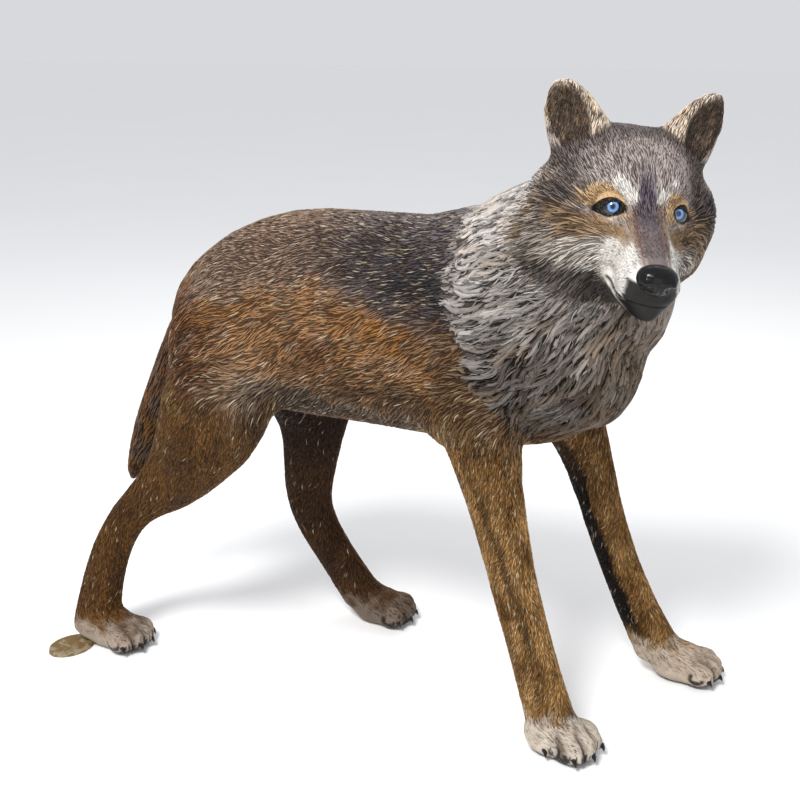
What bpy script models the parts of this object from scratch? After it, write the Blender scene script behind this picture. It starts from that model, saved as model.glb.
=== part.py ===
"""A life-size timber wolf statue: one painted cast, standing on four paws with its head turned right.

The wolf faces -Y, its left side is +X and the floor is z = 0. The whole body is built as overlapping
masses, fused into one skin, and then parted into named pieces by thin saw cuts. All sizes in metres.
"""

from math import cos, pi, radians, sin

import bmesh
import bpy
from mathutils import Euler, Matrix, Vector

# Driving dimensions
WITHERS = 0.742  # top of the shoulders above the floor
BELLY = 0.405  # underside of the trunk above the floor
CHEST_FRONT = -0.305  # foremost point of the chest
RUMP_BACK = 0.430  # rearmost point of the rump
TRUNK_HALF_WIDTH = 0.135
EYE_RADIUS = 0.015
EYE_SPACING = 0.077  # between the centres of the eyeballs
EYE_FORWARD = -0.082
EYE_HEIGHT = 0.001
MUZZLE_MIDDLE = Vector((0, -0.130, -0.045))
NOSE_PLACE = (0, -0.188, -0.049)
NOSE_RADII = (0.0245, 0.0200, 0.0180)
HEAD_PLACE = (-0.036, -0.281, 0.774)  # centre of the braincase
HEAD_SIZE = 1.04
HEAD_TURN = radians(-60)  # towards the wolf's right
HEAD_NOD = radians(8)  # muzzle down
HEAD_TILT = radians(7)  # left ear lower
MUZZLE_TURN = radians(-3)  # the muzzle bends a little further right than the brow
EAR_SPLAY = 24  # degrees outward from upright
EAR_LEAN = 5  # degrees by which both ears lean to the right
EAR_LENGTH = 0.080
PAW_LENGTH = 0.094
PAW_WIDTH = 0.082
SHARP_ANGLE = radians(50)
KERF = 0.0003  # gap left by each cut between two pieces
TAB_PLACE = (-0.178, 0.569)
TAB_HALVES = (0.039, 0.030)  # half length towards the heel and half width
TAB_TURN = radians(-20)
TAB_THICKNESS = 0.006

# Middle of each sole
RIGHT_FRONT = (-0.140, -0.260)
LEFT_FRONT = (0.138, -0.379)
RIGHT_HIND = (-0.134, 0.507)
LEFT_HIND = (0.122, 0.136)

# Each leg from inside the trunk down to the paw: y, z, half depth
RIGHT_FRONT_ROUTE = [
    (-0.105, 0.520, 0.070),
    (-0.120, 0.430, 0.055),
    (-0.143, 0.350, 0.043),
    (-0.177, 0.240, 0.036),
    (-0.216, 0.125, 0.034),
    (-0.245, 0.035, 0.037),
]
LEFT_FRONT_ROUTE = [
    (-0.125, 0.520, 0.070),
    (-0.178, 0.430, 0.053),
    (-0.210, 0.350, 0.041),
    (-0.242, 0.240, 0.034),
    (-0.286, 0.125, 0.033),
    (-0.335, 0.035, 0.037),
]
RIGHT_HIND_ROUTE = [
    (0.295, 0.520, 0.085),
    (0.322, 0.410, 0.086),
    (0.382, 0.315, 0.057),
    (0.442, 0.262, 0.037),
    (0.485, 0.215, 0.0325),
    (0.519, 0.140, 0.034),
    (0.549, 0.035, 0.039),
    (0.556, 0.010, 0.036),
]
LEFT_HIND_ROUTE = [
    (0.290, 0.520, 0.085),
    (0.262, 0.410, 0.082),
    (0.262, 0.330, 0.056),
    (0.276, 0.225, 0.043),
    (0.265, 0.165, 0.037),
    (0.222, 0.097, 0.034),
    (0.175, 0.035, 0.036),
]

# Saw cut above each leg: name, low corner, high corner, height of its upper face at low x and at high x
LEG_CUTS = [
    ("leg_front_right", (-0.30, -0.42, -0.1), (-0.030, -0.035, 0.0), (0.545, 0.392)),
    ("leg_front_left", (0.030, -0.50, -0.1), (0.30, -0.080, 0.0), (0.392, 0.545)),
    ("leg_hind_right", (-0.30, 0.16, -0.1), (-0.030, 0.70, 0.0), (0.560, 0.385)),
    ("leg_hind_left", (0.030, 0.06, -0.1), (0.30, 0.40, 0.0), (0.385, 0.560)),
]

# Making of the mesh
VOXEL = 0.0045
LIGHT_SMOOTHING = 8
BROAD_SMOOTHING = 60
SLIVER = 0.00002
TRIANGLES = 6300
COARSE_FACTOR = 0.12
RING_SIDES = 40

CAST = ("cast_resin", (0.30, 0.19, 0.10), 0.6)
EYE_GLOSS = ("eye_gloss", (0.20, 0.42, 0.75), 0.08)
NOSE_GLOSS = ("nose_gloss", (0.01, 0.01, 0.012), 0.15)
TAB_PAINT = ("tab_paint", (0.50, 0.33, 0.10), 0.5)


# Frames: the head's own, that of the muzzle bent on it, and the saw cuts
HEAD = (
    Matrix.Translation(HEAD_PLACE)
    @ Matrix.Rotation(HEAD_TURN, 4, "Z")
    @ Matrix.Rotation(HEAD_NOD, 4, "X")
    @ Matrix.Rotation(HEAD_TILT, 4, "Y")
    @ Matrix.Scale(HEAD_SIZE, 4)
)
BROW = Matrix.Translation((0, EYE_FORWARD, 0))
MUZZLE = HEAD @ BROW @ Matrix.Rotation(MUZZLE_TURN, 4, "Z") @ BROW.inverted()
TAIL_CUT = Matrix.Translation((0, 0.412, 0.508)) @ Matrix.Rotation(radians(24), 4, "X")
NECK_CUT = Matrix.Translation((0, -0.135, 0.580)) @ Matrix.Rotation(radians(-20), 4, "X")
HEAD_CUT = HEAD @ Matrix.Translation((0, 0.045, -0.025)) @ Matrix.Rotation(radians(-53), 4, "X")


def material(spec):
    name, colour, roughness = spec
    made = bpy.data.materials.get(name) or bpy.data.materials.new(name)
    made.use_nodes = True
    shader = made.node_tree.nodes["Principled BSDF"]
    shader.inputs["Base Color"].default_value = (*colour, 1.0)
    shader.inputs["Roughness"].default_value = roughness
    shader.inputs["Metallic"].default_value = 0.0
    made.diffuse_color = (*colour, 1.0)
    return made


def add_object(name, form, spec=None):
    """Writes a bmesh into a new object and frees it."""
    mesh = bpy.data.meshes.new(name)
    form.to_mesh(mesh)
    form.free()
    made = bpy.data.objects.new(name, mesh)
    bpy.context.scene.collection.objects.link(made)
    if spec:
        mesh.materials.append(material(spec))
    return made


def ease(stations, steps=4):
    """Rows of numbers on a Catmull-Rom curve through the stations."""
    rows = []
    padded = [stations[0], *stations, stations[-1]]
    for a, b, c, d in zip(padded, padded[1:], padded[2:], padded[3:]):
        for step in range(steps):
            t = step / steps
            weights = (
                -0.5 * t + t * t - 0.5 * t**3,
                1 - 2.5 * t * t + 1.5 * t**3,
                0.5 * t + 2 * t * t - 1.5 * t**3,
                -0.5 * t * t + 0.5 * t**3,
            )
            rows.append([sum(w * v for w, v in zip(weights, four)) for four in zip(a, b, c, d)])
    rows.append(list(stations[-1]))
    return rows


def loft(form, stations, across=(1, 0, 0), place=None):
    """Adds a closed tube of oval rings. A station is x, y, z, half width along across, half depth."""
    rows = ease(stations)
    across = Vector(across)
    rings = []
    for index, row in enumerate(rows):
        ahead = Vector(rows[min(index + 1, len(rows) - 1)][:3])
        behind = Vector(rows[max(index - 1, 0)][:3])
        along = (ahead - behind).normalized()
        side = (across - along * across.dot(along)).normalized()
        deep = along.cross(side)
        ring = []
        for corner in range(RING_SIDES):
            turn = 2 * pi * corner / RING_SIDES
            point = Vector(row[:3]) + side * row[3] * cos(turn) + deep * row[4] * sin(turn)
            ring.append(form.verts.new(place @ point if place else point))
        rings.append(ring)
    for low, high in zip(rings, rings[1:]):
        for corner in range(RING_SIDES):
            beside = (corner + 1) % RING_SIDES
            form.faces.new((low[corner], low[beside], high[beside], high[corner]))
    form.faces.new(rings[0][::-1])
    form.faces.new(rings[-1])


def ball(form, centre, radii, turn=(0, 0, 0), place=None):
    """Adds an ellipsoid, turned by the angles given in degrees."""
    matrix = Matrix.Translation(centre) @ Euler([radians(a) for a in turn]).to_matrix().to_4x4()
    matrix = matrix @ Matrix.Diagonal((*radii, 1.0))
    if place:
        matrix = place @ matrix
    bmesh.ops.create_icosphere(form, subdivisions=3, radius=1.0, matrix=matrix)


def trunk(form):
    middle = (WITHERS + BELLY) / 2
    wide = TRUNK_HALF_WIDTH
    loft(
        form,
        [
            (0, RUMP_BACK, 0.525, 0.040, 0.040),
            (0, 0.392, 0.530, 0.088, 0.088),
            (0, 0.310, 0.548, wide - 0.020, 0.134),
            (0, 0.210, 0.563, wide - 0.013, 0.158),
            (0, 0.100, middle - 0.008, wide - 0.003, 0.160),
            (0, 0.000, middle - 0.009, wide + 0.002, 0.162),
            (0, -0.080, middle - 0.002, wide + 0.005, 0.171),
            (0, -0.160, middle + 0.004, wide + 0.004, 0.170),
            (0, -0.230, middle + 0.015, wide - 0.012, 0.140),
            (0, CHEST_FRONT + 0.02, middle + 0.030, 0.070, 0.080),
        ],
    )
    for sign in (-1, 1):
        ball(form, (sign * 0.085, -0.090, 0.545), (0.062, 0.100, 0.140), (12, 0, 0))
        ball(form, (sign * 0.082, 0.305, 0.500), (0.060, 0.100, 0.120), (-14, 0, 0))


def neck(form):
    loft(
        form,
        [
            (0, -0.020, 0.600, 0.110, 0.125),
            (0, -0.120, 0.626, 0.132, 0.130),
            (-0.008, -0.200, 0.672, 0.134, 0.130),
            (-0.028, -0.252, 0.735, 0.116, 0.108),
            (-0.036, -0.265, 0.785, 0.085, 0.085),
        ],
    )
    ball(form, (0.000, -0.220, 0.580), (0.120, 0.090, 0.145), (-12, 0, 0))
    ball(form, (0.004, -0.270, 0.636), (0.100, 0.078, 0.105))


def tail(form):
    loft(
        form,
        [
            (0, 0.364, 0.572, 0.036, 0.036),
            (0.000, 0.412, 0.530, 0.040, 0.038),
            (-0.003, 0.457, 0.440, 0.040, 0.036),
            (-0.008, 0.502, 0.350, 0.033, 0.030),
            (-0.013, 0.537, 0.270, 0.021, 0.019),
            (-0.015, 0.549, 0.236, 0.008, 0.008),
        ],
    )


def paw(form, foot, heading, length=PAW_LENGTH):
    """A paw with four toes and their claws. The foot is the middle of its sole."""
    place = Matrix.Translation((foot[0], foot[1], 0)) @ Matrix.Rotation(heading, 4, "Z")
    long, wide = length, PAW_WIDTH
    ball(form, (0, 0.012, 0.026), (0.46 * wide, 0.50 * long, 0.034), place=place)
    for spread, ahead in ((-0.36, 0.20), (-0.13, 0.32), (0.13, 0.32), (0.36, 0.20)):
        middle = (spread * wide, -ahead * long, 0.021)
        ball(form, middle, (0.0135, 0.026, 0.0225), (0, 0, degrees_of(spread)), place=place)
        claw = (spread * wide * 1.08, -(ahead + 0.26) * long, 0.011)
        ball(form, claw, (0.0038, 0.010, 0.0055), (20, 0, degrees_of(spread)), place=place)


def degrees_of(spread):
    """The outer toes turn outwards."""
    return spread * 40


def leg(form, sign, foot, route, top_x):
    """A leg along its route of y, z and half depth, from inside the trunk down to the paw."""
    high = route[0][1]
    stations = []
    for y, z, half_depth in route:
        drop = (high - z) / high
        x = sign * top_x + (foot[0] - sign * top_x) * min(1.0, 1.4 * drop)
        stations.append((x, y, z, half_depth * (0.55 if z > 0.45 else 0.86), half_depth))
    loft(form, stations)


def head(form):
    ball(form, (0, 0.012, 0.006), (0.098, 0.095, 0.080), place=HEAD)
    ball(form, (0, -0.036, 0.024), (0.066, 0.066, 0.050), place=HEAD)
    loft(
        form,
        [
            (0, -0.045, -0.012, 0.060, 0.058),
            (0, -0.085, -0.023, 0.047, 0.048),
            (0, -0.120, -0.038, 0.037, 0.039),
            (0, -0.155, -0.050, 0.033, 0.034),
            (0, -0.182, -0.055, 0.028, 0.027),
        ],
        place=MUZZLE,
    )
    loft(
        form,
        [
            (0, -0.030, -0.078, 0.058, 0.042),
            (0, -0.100, -0.083, 0.038, 0.025),
            (0, -0.150, -0.087, 0.028, 0.018),
            (0, -0.168, -0.087, 0.017, 0.012),
        ],
        place=MUZZLE,
    )
    for sign in (-1, 1):
        ball(form, (sign * 0.068, 0.004, -0.022), (0.056, 0.074, 0.062), place=HEAD)
        ball(form, (sign * 0.061, 0.008, -0.064), (0.056, 0.074, 0.052), place=HEAD)
        ball(form, (sign * 0.040, -0.060, -0.045), (0.036, 0.048, 0.040), place=HEAD)
        ball(form, (sign * 0.018, -0.155, -0.066), (0.020, 0.034, 0.022), place=MUZZLE)
        ball(form, (sign * 0.040, -0.066, 0.022), (0.026, 0.024, 0.014), (0, sign * 15, 0), place=HEAD)


def ear(form, sign):
    """A thick upright ear, its hollow facing forward and a little outward."""
    place = HEAD @ Matrix.Translation((sign * 0.067, 0.010, 0.055))
    place = place @ Matrix.Rotation(radians(sign * EAR_SPLAY - EAR_LEAN), 4, "Y")
    place = place @ Matrix.Rotation(radians(sign * 14), 4, "Z")
    whole = bmesh.new()
    high = EAR_LENGTH
    loft(
        whole,
        [
            (0, 0.005, -0.010, 0.040, 0.026),
            (0, 0.004, 0.25 * high, 0.038, 0.022),
            (0, 0.002, 0.60 * high, 0.030, 0.016),
            (0, 0.000, 0.88 * high, 0.018, 0.011),
            (0, 0.000, high, 0.008, 0.006),
        ],
    )
    hollow = bmesh.new()
    ball(hollow, (0, -0.017, 0.45 * high), (0.024, 0.018, 0.42 * high))
    shell = add_object("ear_shell", whole)
    scoop = add_object("ear_scoop", hollow)
    cut(shell, scoop)
    evaluated = shell.evaluated_get(bpy.context.evaluated_depsgraph_get())
    copy = bmesh.new()
    copy.from_mesh(evaluated.to_mesh())
    copy.transform(place)
    spare = bpy.data.meshes.new("ear_clay")
    copy.to_mesh(spare)
    copy.free()
    form.from_mesh(spare)
    bpy.data.objects.remove(shell)
    bpy.data.objects.remove(scoop)


def cut(piece, cutter, operation="DIFFERENCE"):
    """Adds a Boolean of the piece with the cutter and hides the cutter."""
    cutter.hide_render = True
    cutter.display_type = "WIRE"
    modifier = piece.modifiers.new("cut", "BOOLEAN")
    modifier.operation = operation
    modifier.solver = "EXACT"
    modifier.object = cutter


def bake(piece):
    """Replaces the mesh by what its modifiers make of it."""
    bpy.context.view_layer.update()
    graph = bpy.context.evaluated_depsgraph_get()
    mesh = bpy.data.meshes.new_from_object(piece.evaluated_get(graph))
    piece.modifiers.clear()
    piece.data = mesh
    mesh.shade_smooth()
    mesh.set_sharp_from_angle(angle=SHARP_ANGLE)
    return piece


def whole_body():
    """All the masses fused into one closed mesh."""
    form = bmesh.new()
    trunk(form)
    neck(form)
    tail(form)
    head(form)
    ear(form, -1)
    ear(form, 1)
    leg(form, -1, RIGHT_FRONT, RIGHT_FRONT_ROUTE, 0.095)
    leg(form, 1, LEFT_FRONT, LEFT_FRONT_ROUTE, 0.095)
    leg(form, -1, RIGHT_HIND, RIGHT_HIND_ROUTE, 0.090)
    leg(form, 1, LEFT_HIND, LEFT_HIND_ROUTE, 0.090)
    paw(form, RIGHT_FRONT, 0.0)
    paw(form, LEFT_FRONT, radians(4))
    paw(form, RIGHT_HIND, radians(-4), 1.22 * PAW_LENGTH)
    paw(form, LEFT_HIND, radians(4))
    body = add_object("body", form)
    fuse = body.modifiers.new("fuse", "REMESH")
    fuse.mode = "VOXEL"
    fuse.voxel_size = VOXEL
    bake(body)
    share(body, "broad", broadness)
    share(body, "coarse", lambda point: 0.4 + 0.6 * broadness(point))
    for name, iterations, group in (("light", LIGHT_SMOOTHING, ""), ("wide", BROAD_SMOOTHING, "broad")):
        smooth = body.modifiers.new(name, "SMOOTH")
        smooth.factor = 0.5
        smooth.iterations = iterations
        smooth.vertex_group = group
    bake(body)
    thin = body.modifiers.new("thin", "DECIMATE")
    thin.ratio = TRIANGLES / (2 * len(body.data.polygons))
    thin.vertex_group = "coarse"
    thin.vertex_group_factor = COARSE_FACTOR
    return bake(body)


def broadness(point):
    """1 on the wide soft masses, 0 on the muzzle, the ears and the paws."""
    local = HEAD.inverted() @ point
    weight = ramp(point.z, 0.10, 0.35) * ramp((local - MUZZLE_MIDDLE).length, 0.050, 0.095)
    for sign in (-1, 1):
        weight *= ramp((local - Vector((sign * 0.085, 0.010, 0.100))).length, 0.050, 0.080)
    return weight


def ramp(value, low, high):
    return min(1.0, max(0.0, (value - low) / (high - low)))


def share(piece, name, weight_at):
    """A vertex group whose weights are a function of place."""
    group = piece.vertex_groups.new(name=name)
    for vertex in piece.data.vertices:
        group.add([vertex.index], weight_at(vertex.co), "REPLACE")


def block(name, low, high, place=None, top=None):
    """A cuboid between two corners. With top, its upper face rises or falls along x to those heights."""
    form = bmesh.new()
    bmesh.ops.create_cube(form, size=1.0)
    for vertex in form.verts:
        corner = [low[axis] if vertex.co[axis] < 0 else high[axis] for axis in range(3)]
        if top and vertex.co.z > 0:
            corner[2] = top[0] if vertex.co.x < 0 else top[1]
        vertex.co = place @ Vector(corner) if place else Vector(corner)
    return add_object(name, form)


def grown(low, high, top=None):
    """The same cuboid, larger by the saw kerf on every side."""
    low = [value - KERF for value in low]
    high = [value + KERF for value in high]
    return low, high, top and [value + KERF for value in top]


def part_off(body, name, low, high, place=None, top=None):
    """Saws the flesh inside the cuboid off the body, as a piece of its own."""
    piece = body.copy()
    piece.data = body.data.copy()
    piece.name = name
    bpy.context.scene.collection.objects.link(piece)
    inner = block("inner", low, high, place, top)
    wide_low, wide_high, wide_top = grown(low, high, top)
    outer = block("outer", wide_low, wide_high, place, wide_top)
    for target, cutter, operation in ((piece, inner, "INTERSECT"), (body, outer, "DIFFERENCE")):
        cut(target, cutter, operation)
        bake(target)
        bpy.data.objects.remove(cutter)
        clean(target)
    return piece


def clean(piece):
    """Drops the slivers that a cut leaves and splits its flat faces into triangles."""
    form = bmesh.new()
    form.from_mesh(piece.data)
    bmesh.ops.triangulate(form, faces=form.faces[:])
    bmesh.ops.remove_doubles(form, verts=form.verts[:], dist=SLIVER)
    bmesh.ops.dissolve_degenerate(form, edges=form.edges[:], dist=SLIVER)
    bmesh.ops.triangulate(form, faces=form.faces[:])
    form.to_mesh(piece.data)
    form.free()


def stand_flat(body):
    """Cuts the soles flat at the floor."""
    form = bmesh.new()
    form.from_mesh(body.data)
    everything = form.verts[:] + form.edges[:] + form.faces[:]
    found = bmesh.ops.bisect_plane(
        form, geom=everything, dist=1e-6, plane_co=(0, 0, 0), plane_no=(0, 0, 1), clear_inner=True
    )
    rim = [item for item in found["geom_cut"] if isinstance(item, bmesh.types.BMEdge)]
    bmesh.ops.triangle_fill(form, edges=rim, use_beauty=True, normal=(0, 0, -1))
    bmesh.ops.recalc_face_normals(form, faces=form.faces[:])
    form.to_mesh(body.data)
    form.free()


def eyeball(name, sign, radius, spec=None):
    form = bmesh.new()
    centre = (sign * EYE_SPACING / 2, EYE_FORWARD, EYE_HEIGHT)
    matrix = HEAD @ Matrix.Translation(centre) @ Matrix.Rotation(radians(90), 4, "X")
    bmesh.ops.create_uvsphere(form, u_segments=16, v_segments=10, radius=radius / HEAD_SIZE, matrix=matrix)
    return add_object(name, form, spec)


def ear_cut(sign):
    """The plane on which an ear stands, its z axis pointing out of the skull."""
    return HEAD @ Matrix.Translation((sign * 0.066, 0.0, 0.066)) @ Matrix.Rotation(radians(sign * 31), 4, "Y")


def hollow_out(piece, cutter):
    cut(piece, cutter)
    bake(piece)
    bpy.data.objects.remove(cutter)
    clean(piece)


def nose_pad(name, extra, spec=None):
    """The leather of the nose: broad above, narrower below, let into the end of the muzzle."""
    form = bmesh.new()
    radii = [value + extra for value in NOSE_RADII]
    bmesh.ops.create_uvsphere(form, u_segments=16, v_segments=10, radius=1.0)
    for vertex in form.verts:
        narrow = 1.0 + 0.16 * vertex.co.z
        vertex.co = Vector((vertex.co.x * radii[0] * narrow, vertex.co.y * radii[1], vertex.co.z * radii[2]))
    form.transform(MUZZLE @ Matrix.Translation(NOSE_PLACE) @ Matrix.Rotation(radians(8), 4, "X"))
    return add_object(name, form, spec)


def foot_plate(name, extra, spec=None):
    """The oval plate that bolts the statue down, let into the heel of the right hind paw."""
    form = bmesh.new()
    sizes = [half + extra for half in TAB_HALVES]
    place = Matrix.Translation((*TAB_PLACE, TAB_THICKNESS / 2)) @ Matrix.Rotation(TAB_TURN, 4, "Z")
    bmesh.ops.create_cone(
        form,
        cap_ends=True,
        segments=28,
        radius1=1.0,
        radius2=0.97,
        depth=TAB_THICKNESS + 2 * extra,
        matrix=place @ Matrix.Diagonal((*sizes, 1.0, 1.0)),
    )
    return add_object(name, form, spec)


def centre_on_floor(pieces):
    """Moves the statue so that the middle of its box stands over the origin."""
    points = [vertex.co for piece in pieces for vertex in piece.data.vertices]
    middle = [(min(p[axis] for p in points) + max(p[axis] for p in points)) / 2 for axis in range(2)]
    for piece in pieces:
        piece.data.transform(Matrix.Translation((-middle[0], -middle[1], 0)))


def main():
    for old in list(bpy.data.objects):
        bpy.data.objects.remove(old)
    body = whole_body()
    body.data.materials.append(material(CAST))
    stand_flat(body)
    body.name = "trunk"
    part_off(body, "tail", (-0.042, -0.045, -0.40), (0.042, 0.120, 0.0), place=TAIL_CUT)
    legs = {name: part_off(body, name, low, high, top=top) for name, low, high, top in LEG_CUTS}
    face = part_off(body, "head", (-0.30, -0.40, -0.35), (0.30, 0.0, 0.30), place=HEAD_CUT)
    part_off(body, "neck", (-0.30, -0.40, -0.50), (0.30, 0.0, 0.50), place=NECK_CUT)
    for side, sign in (("right", -1), ("left", 1)):
        part_off(face, "ear_" + side, (-0.1, -0.1, 0.0), (0.1, 0.1, 0.2), place=ear_cut(sign))
        eyeball("eye_" + side, sign, EYE_RADIUS, EYE_GLOSS)
        hollow_out(face, eyeball("socket", sign, EYE_RADIUS + KERF))
    nose_pad("nose", 0.0, NOSE_GLOSS)
    hollow_out(face, nose_pad("seat", KERF))
    foot_plate("anchor_tab", 0.0, TAB_PAINT)
    hollow_out(legs["leg_hind_right"], foot_plate("notch", KERF))
    centre_on_floor(bpy.data.objects)


main()
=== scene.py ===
"""A life-size timber wolf statue, cast in resin and painted by hand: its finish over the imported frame.

The wolf faces -Y, its left side is +X and the floor is z = 0, in metres, as in the frame. One skin stands for
all the cast flesh, and the carved coat lies on it as low ridged locks that follow the lie of the fur.
"""

from math import cos, pi, radians, sin, tau

import bmesh
import bpy
import numpy as np
from mathutils import Euler, Matrix, Vector, kdtree
from mathutils.bvhtree import BVHTree


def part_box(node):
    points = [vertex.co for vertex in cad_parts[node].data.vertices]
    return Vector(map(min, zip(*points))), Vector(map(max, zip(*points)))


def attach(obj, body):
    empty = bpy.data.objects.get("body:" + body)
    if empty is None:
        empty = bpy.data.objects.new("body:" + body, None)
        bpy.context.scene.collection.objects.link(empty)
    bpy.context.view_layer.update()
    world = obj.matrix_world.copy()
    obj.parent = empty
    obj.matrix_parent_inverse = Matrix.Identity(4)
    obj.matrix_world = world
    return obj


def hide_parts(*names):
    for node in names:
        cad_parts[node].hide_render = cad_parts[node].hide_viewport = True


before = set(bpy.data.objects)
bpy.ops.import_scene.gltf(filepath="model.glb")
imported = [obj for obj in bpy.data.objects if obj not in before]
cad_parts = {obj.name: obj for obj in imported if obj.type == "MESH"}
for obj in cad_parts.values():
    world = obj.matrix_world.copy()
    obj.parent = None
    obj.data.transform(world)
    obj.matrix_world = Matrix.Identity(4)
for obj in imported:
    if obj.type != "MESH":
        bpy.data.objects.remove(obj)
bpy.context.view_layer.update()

MM = 0.001
BOTH, MIDDLE = (-1, 1), (1,)  # the sides of the head that a change is made on
LEGS = ["leg_front_left", "leg_front_right", "leg_hind_left", "leg_hind_right"]
FLESH = ["head", "ear_left", "ear_right", "neck", "trunk", "tail", *LEGS]

HEAD_TURN = radians(-60)  # towards the wolf's right
HEAD_NOD = radians(8)
HEAD_TILT = radians(7)
EAR_SPLAY = radians(24)
EAR_LEAN = radians(5)
EAR_TWIST = radians(14)
EYE_RADIUS = 15 * MM
IRIS_RADIUS = 7.7 * MM
PUPIL_RADIUS = 2.8 * MM
EYE_OUTWARD = radians(14)  # each eye's opening faces this far out from straight ahead
GAZE_UP = radians(20)
GAZE_RIGHT = radians(-12)

# Camera: a normal lens at an adult's eye height, looking down at the right flank
CAMERA_PLACE = (-1.5632, -0.72986, 0.9765)
CAMERA_TURN = radians(-66.104)
CAMERA_DOWN = radians(17.136)
CAMERA_LENS = 54.0

# Each paw: the middle of its sole, how far it is turned, its length and its width
PAWS = {
    "leg_front_left": ((0.1592, -0.4605), radians(4), 0.094, 0.082),
    "leg_front_right": ((-0.1188, -0.3415), radians(-38), 0.094, 0.096),
    "leg_hind_left": ((0.1432, 0.0545), radians(4), 0.094, 0.082),
    "leg_hind_right": ((-0.1128, 0.4255), radians(-4), 0.115, 0.082),
}
PAW_TOP = 0.075  # the height up to which the fur is a paw's
TOES = (-0.37, -0.13, 0.13, 0.37)  # the middle of each toe, as a share of the paw's width
TOE_GAPS = (-0.245, 0.0, 0.245)
MIDDLE_X = 0.019  # the statue's own middle plane

# Where the ruff ends on the flank, as (height, y) from the belly up to the withers
RUFF_EDGE = [(0.440, -0.262), (0.480, -0.240), (0.505, -0.212), (0.530, -0.186), (0.590, -0.172)]
RUFF_EDGE += [(0.620, -0.152), (0.740, -0.146)]
# Gold patches on the flank, each as its (y, z) middle and how strong it is
GOLD_PATCHES = [((-0.075, 0.588), 0.9), ((0.010, 0.560), 0.3), ((0.215, 0.590), 0.6), ((-0.140, 0.500), 0.5)]

# In the head's frame. Places with three numbers are on its left, x outward, and are mirrored for its right.
# The brush strokes are the other way round, given on the right
FACE_X = -0.0065  # the mask is painted about this line of the head
EAR_FOOT = (0.0697, 0.0957, 0.0562)
ALMOND_MIDDLE = (0.0429, -0.0066, 0.0017)
ALMOND_LENGTHWISE = (0.602, 0.778, -0.176)
ALMOND_UPRIGHT = (0.107, 0.139, 0.984)
BROW_SPOT = [(-0.0165, -0.018, 0.0190), (-0.0340, -0.004, 0.0350)]
EYE_CORNER = [(-0.0560, 0.010, -0.0025), (-0.0860, 0.023, -0.0050)]
LOWER_LID = [(-0.0300, -0.026, -0.0030), (-0.0415, -0.0165, -0.0105), (-0.0560, 0.006, -0.0095)]
# The line between the lips and the pale edge of the lower lip, as (y, z)
MOUTH = [(-0.0240, -0.0800), (-0.0500, -0.0845), (-0.0790, -0.0850), (-0.0960, -0.0862), (-0.1400, -0.0870)]
LIP_EDGE = [(-0.0290, -0.0862), (-0.0600, -0.0900), (-0.0730, -0.0950), (-0.0790, -0.1010)]
# Clay pushed on the head: on which sides, round which place, how far round it and by how much
HEAD_PUSHES = [
    (BOTH, (0.030, -0.006, 0.026), (0.020, 0.020, 0.012), (0.001, -0.006, 0.003)),  # brow over the eye
    (BOTH, (0.0, 0.0, 0.030), (0.012, 0.03, 0.030), (0.0, 0.004, -0.002)),  # furrow of the forehead
    (BOTH, (0.026, -0.030, -0.018), (0.010, 0.022, 0.014), (-0.004, 0.004, 0.0)),  # hollow before the eye
    (BOTH, (0.024, -0.080, -0.062), (0.016, 0.026, 0.016), (0.004, -0.001, -0.002)),  # whisker pad
    (BOTH, (0.070, 0.018, -0.020), (0.026, 0.030, 0.022), (0.003, -0.002, 0.0)),  # cheekbone
    (BOTH, (0.080, 0.010, -0.062), (0.032, 0.040, 0.030), (0.007, -0.005, -0.005)),  # full lower cheek
    (MIDDLE, (0.0, -0.098, -0.080), (0.022, 0.022, 0.014), (0.0, -0.009, 0.0)),  # upper lip
    (MIDDLE, (0.0, -0.088, -0.102), (0.024, 0.026, 0.016), (0.0, -0.014, -0.006)),  # chin
    (BOTH, (0.034, -0.066, -0.092), (0.014, 0.030, 0.0045), (0.0022, 0.0, 0.0)),  # lower lip
]
# The same on the nose, from its own middle
NOSE_PUSHES = [
    (BOTH, (0.0115, -0.018, -0.0075), (0.0048, 0.010, 0.0036), (0, 0.0075, 0)),  # nostril
    (BOTH, (0.0190, -0.012, -0.0085), (0.0060, 0.010, 0.0024), (-0.003, 0.004, 0)),  # slit beside it
    (BOTH, (0.0165, -0.014, -0.001), (0.0050, 0.009, 0.0040), (0.0016, -0.001, 0)),  # wing over it
]


# ---------------------------------------------------------------- places on the statue


def middle(node):
    low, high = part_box(node)
    return (np.array(low) + np.array(high)) / 2


def smooth(value, low, high):
    """0 below low, 1 above high and a soft step between."""
    t = np.clip((value - low) / (high - low), 0.0, 1.0)
    return t * t * (3 - 2 * t)


def near(points, centre, radii):
    """1 at the centre, falling softly to 0 past the radii."""
    return np.exp(-(((points - np.array(centre)) / np.array(radii)) ** 2).sum(-1))


def unit(vectors):
    return vectors / np.maximum(np.linalg.norm(vectors, axis=-1, keepdims=True), 1e-12)


def mirrored(place, side):
    """A place or a push of the left side, or for side -1 its mirror image on the right."""
    return np.array((side * place[0], place[1], place[2]))


LEFT_EYE = middle("eye_left")
RIGHT_EYE = middle("eye_right")
BROW = (LEFT_EYE + RIGHT_EYE) / 2
TURNED_HEAD = Matrix.Rotation(HEAD_TURN, 3, "Z")
HEAD = np.array(TURNED_HEAD @ Euler((HEAD_NOD, 0, 0)).to_matrix() @ Euler((0, HEAD_TILT, 0)).to_matrix())
TRUNK_LOW, TRUNK_HIGH = (np.array(corner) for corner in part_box("trunk"))


def in_head(points):
    """Points in the head's own frame: x to its left, y backward and z up, from between the eyes."""
    return (points - BROW) @ HEAD


def from_head(points):
    return points @ HEAD.T + BROW


NOSE = in_head(middle("nose"))
EYE_X = float(in_head(LEFT_EYE)[0])


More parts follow.
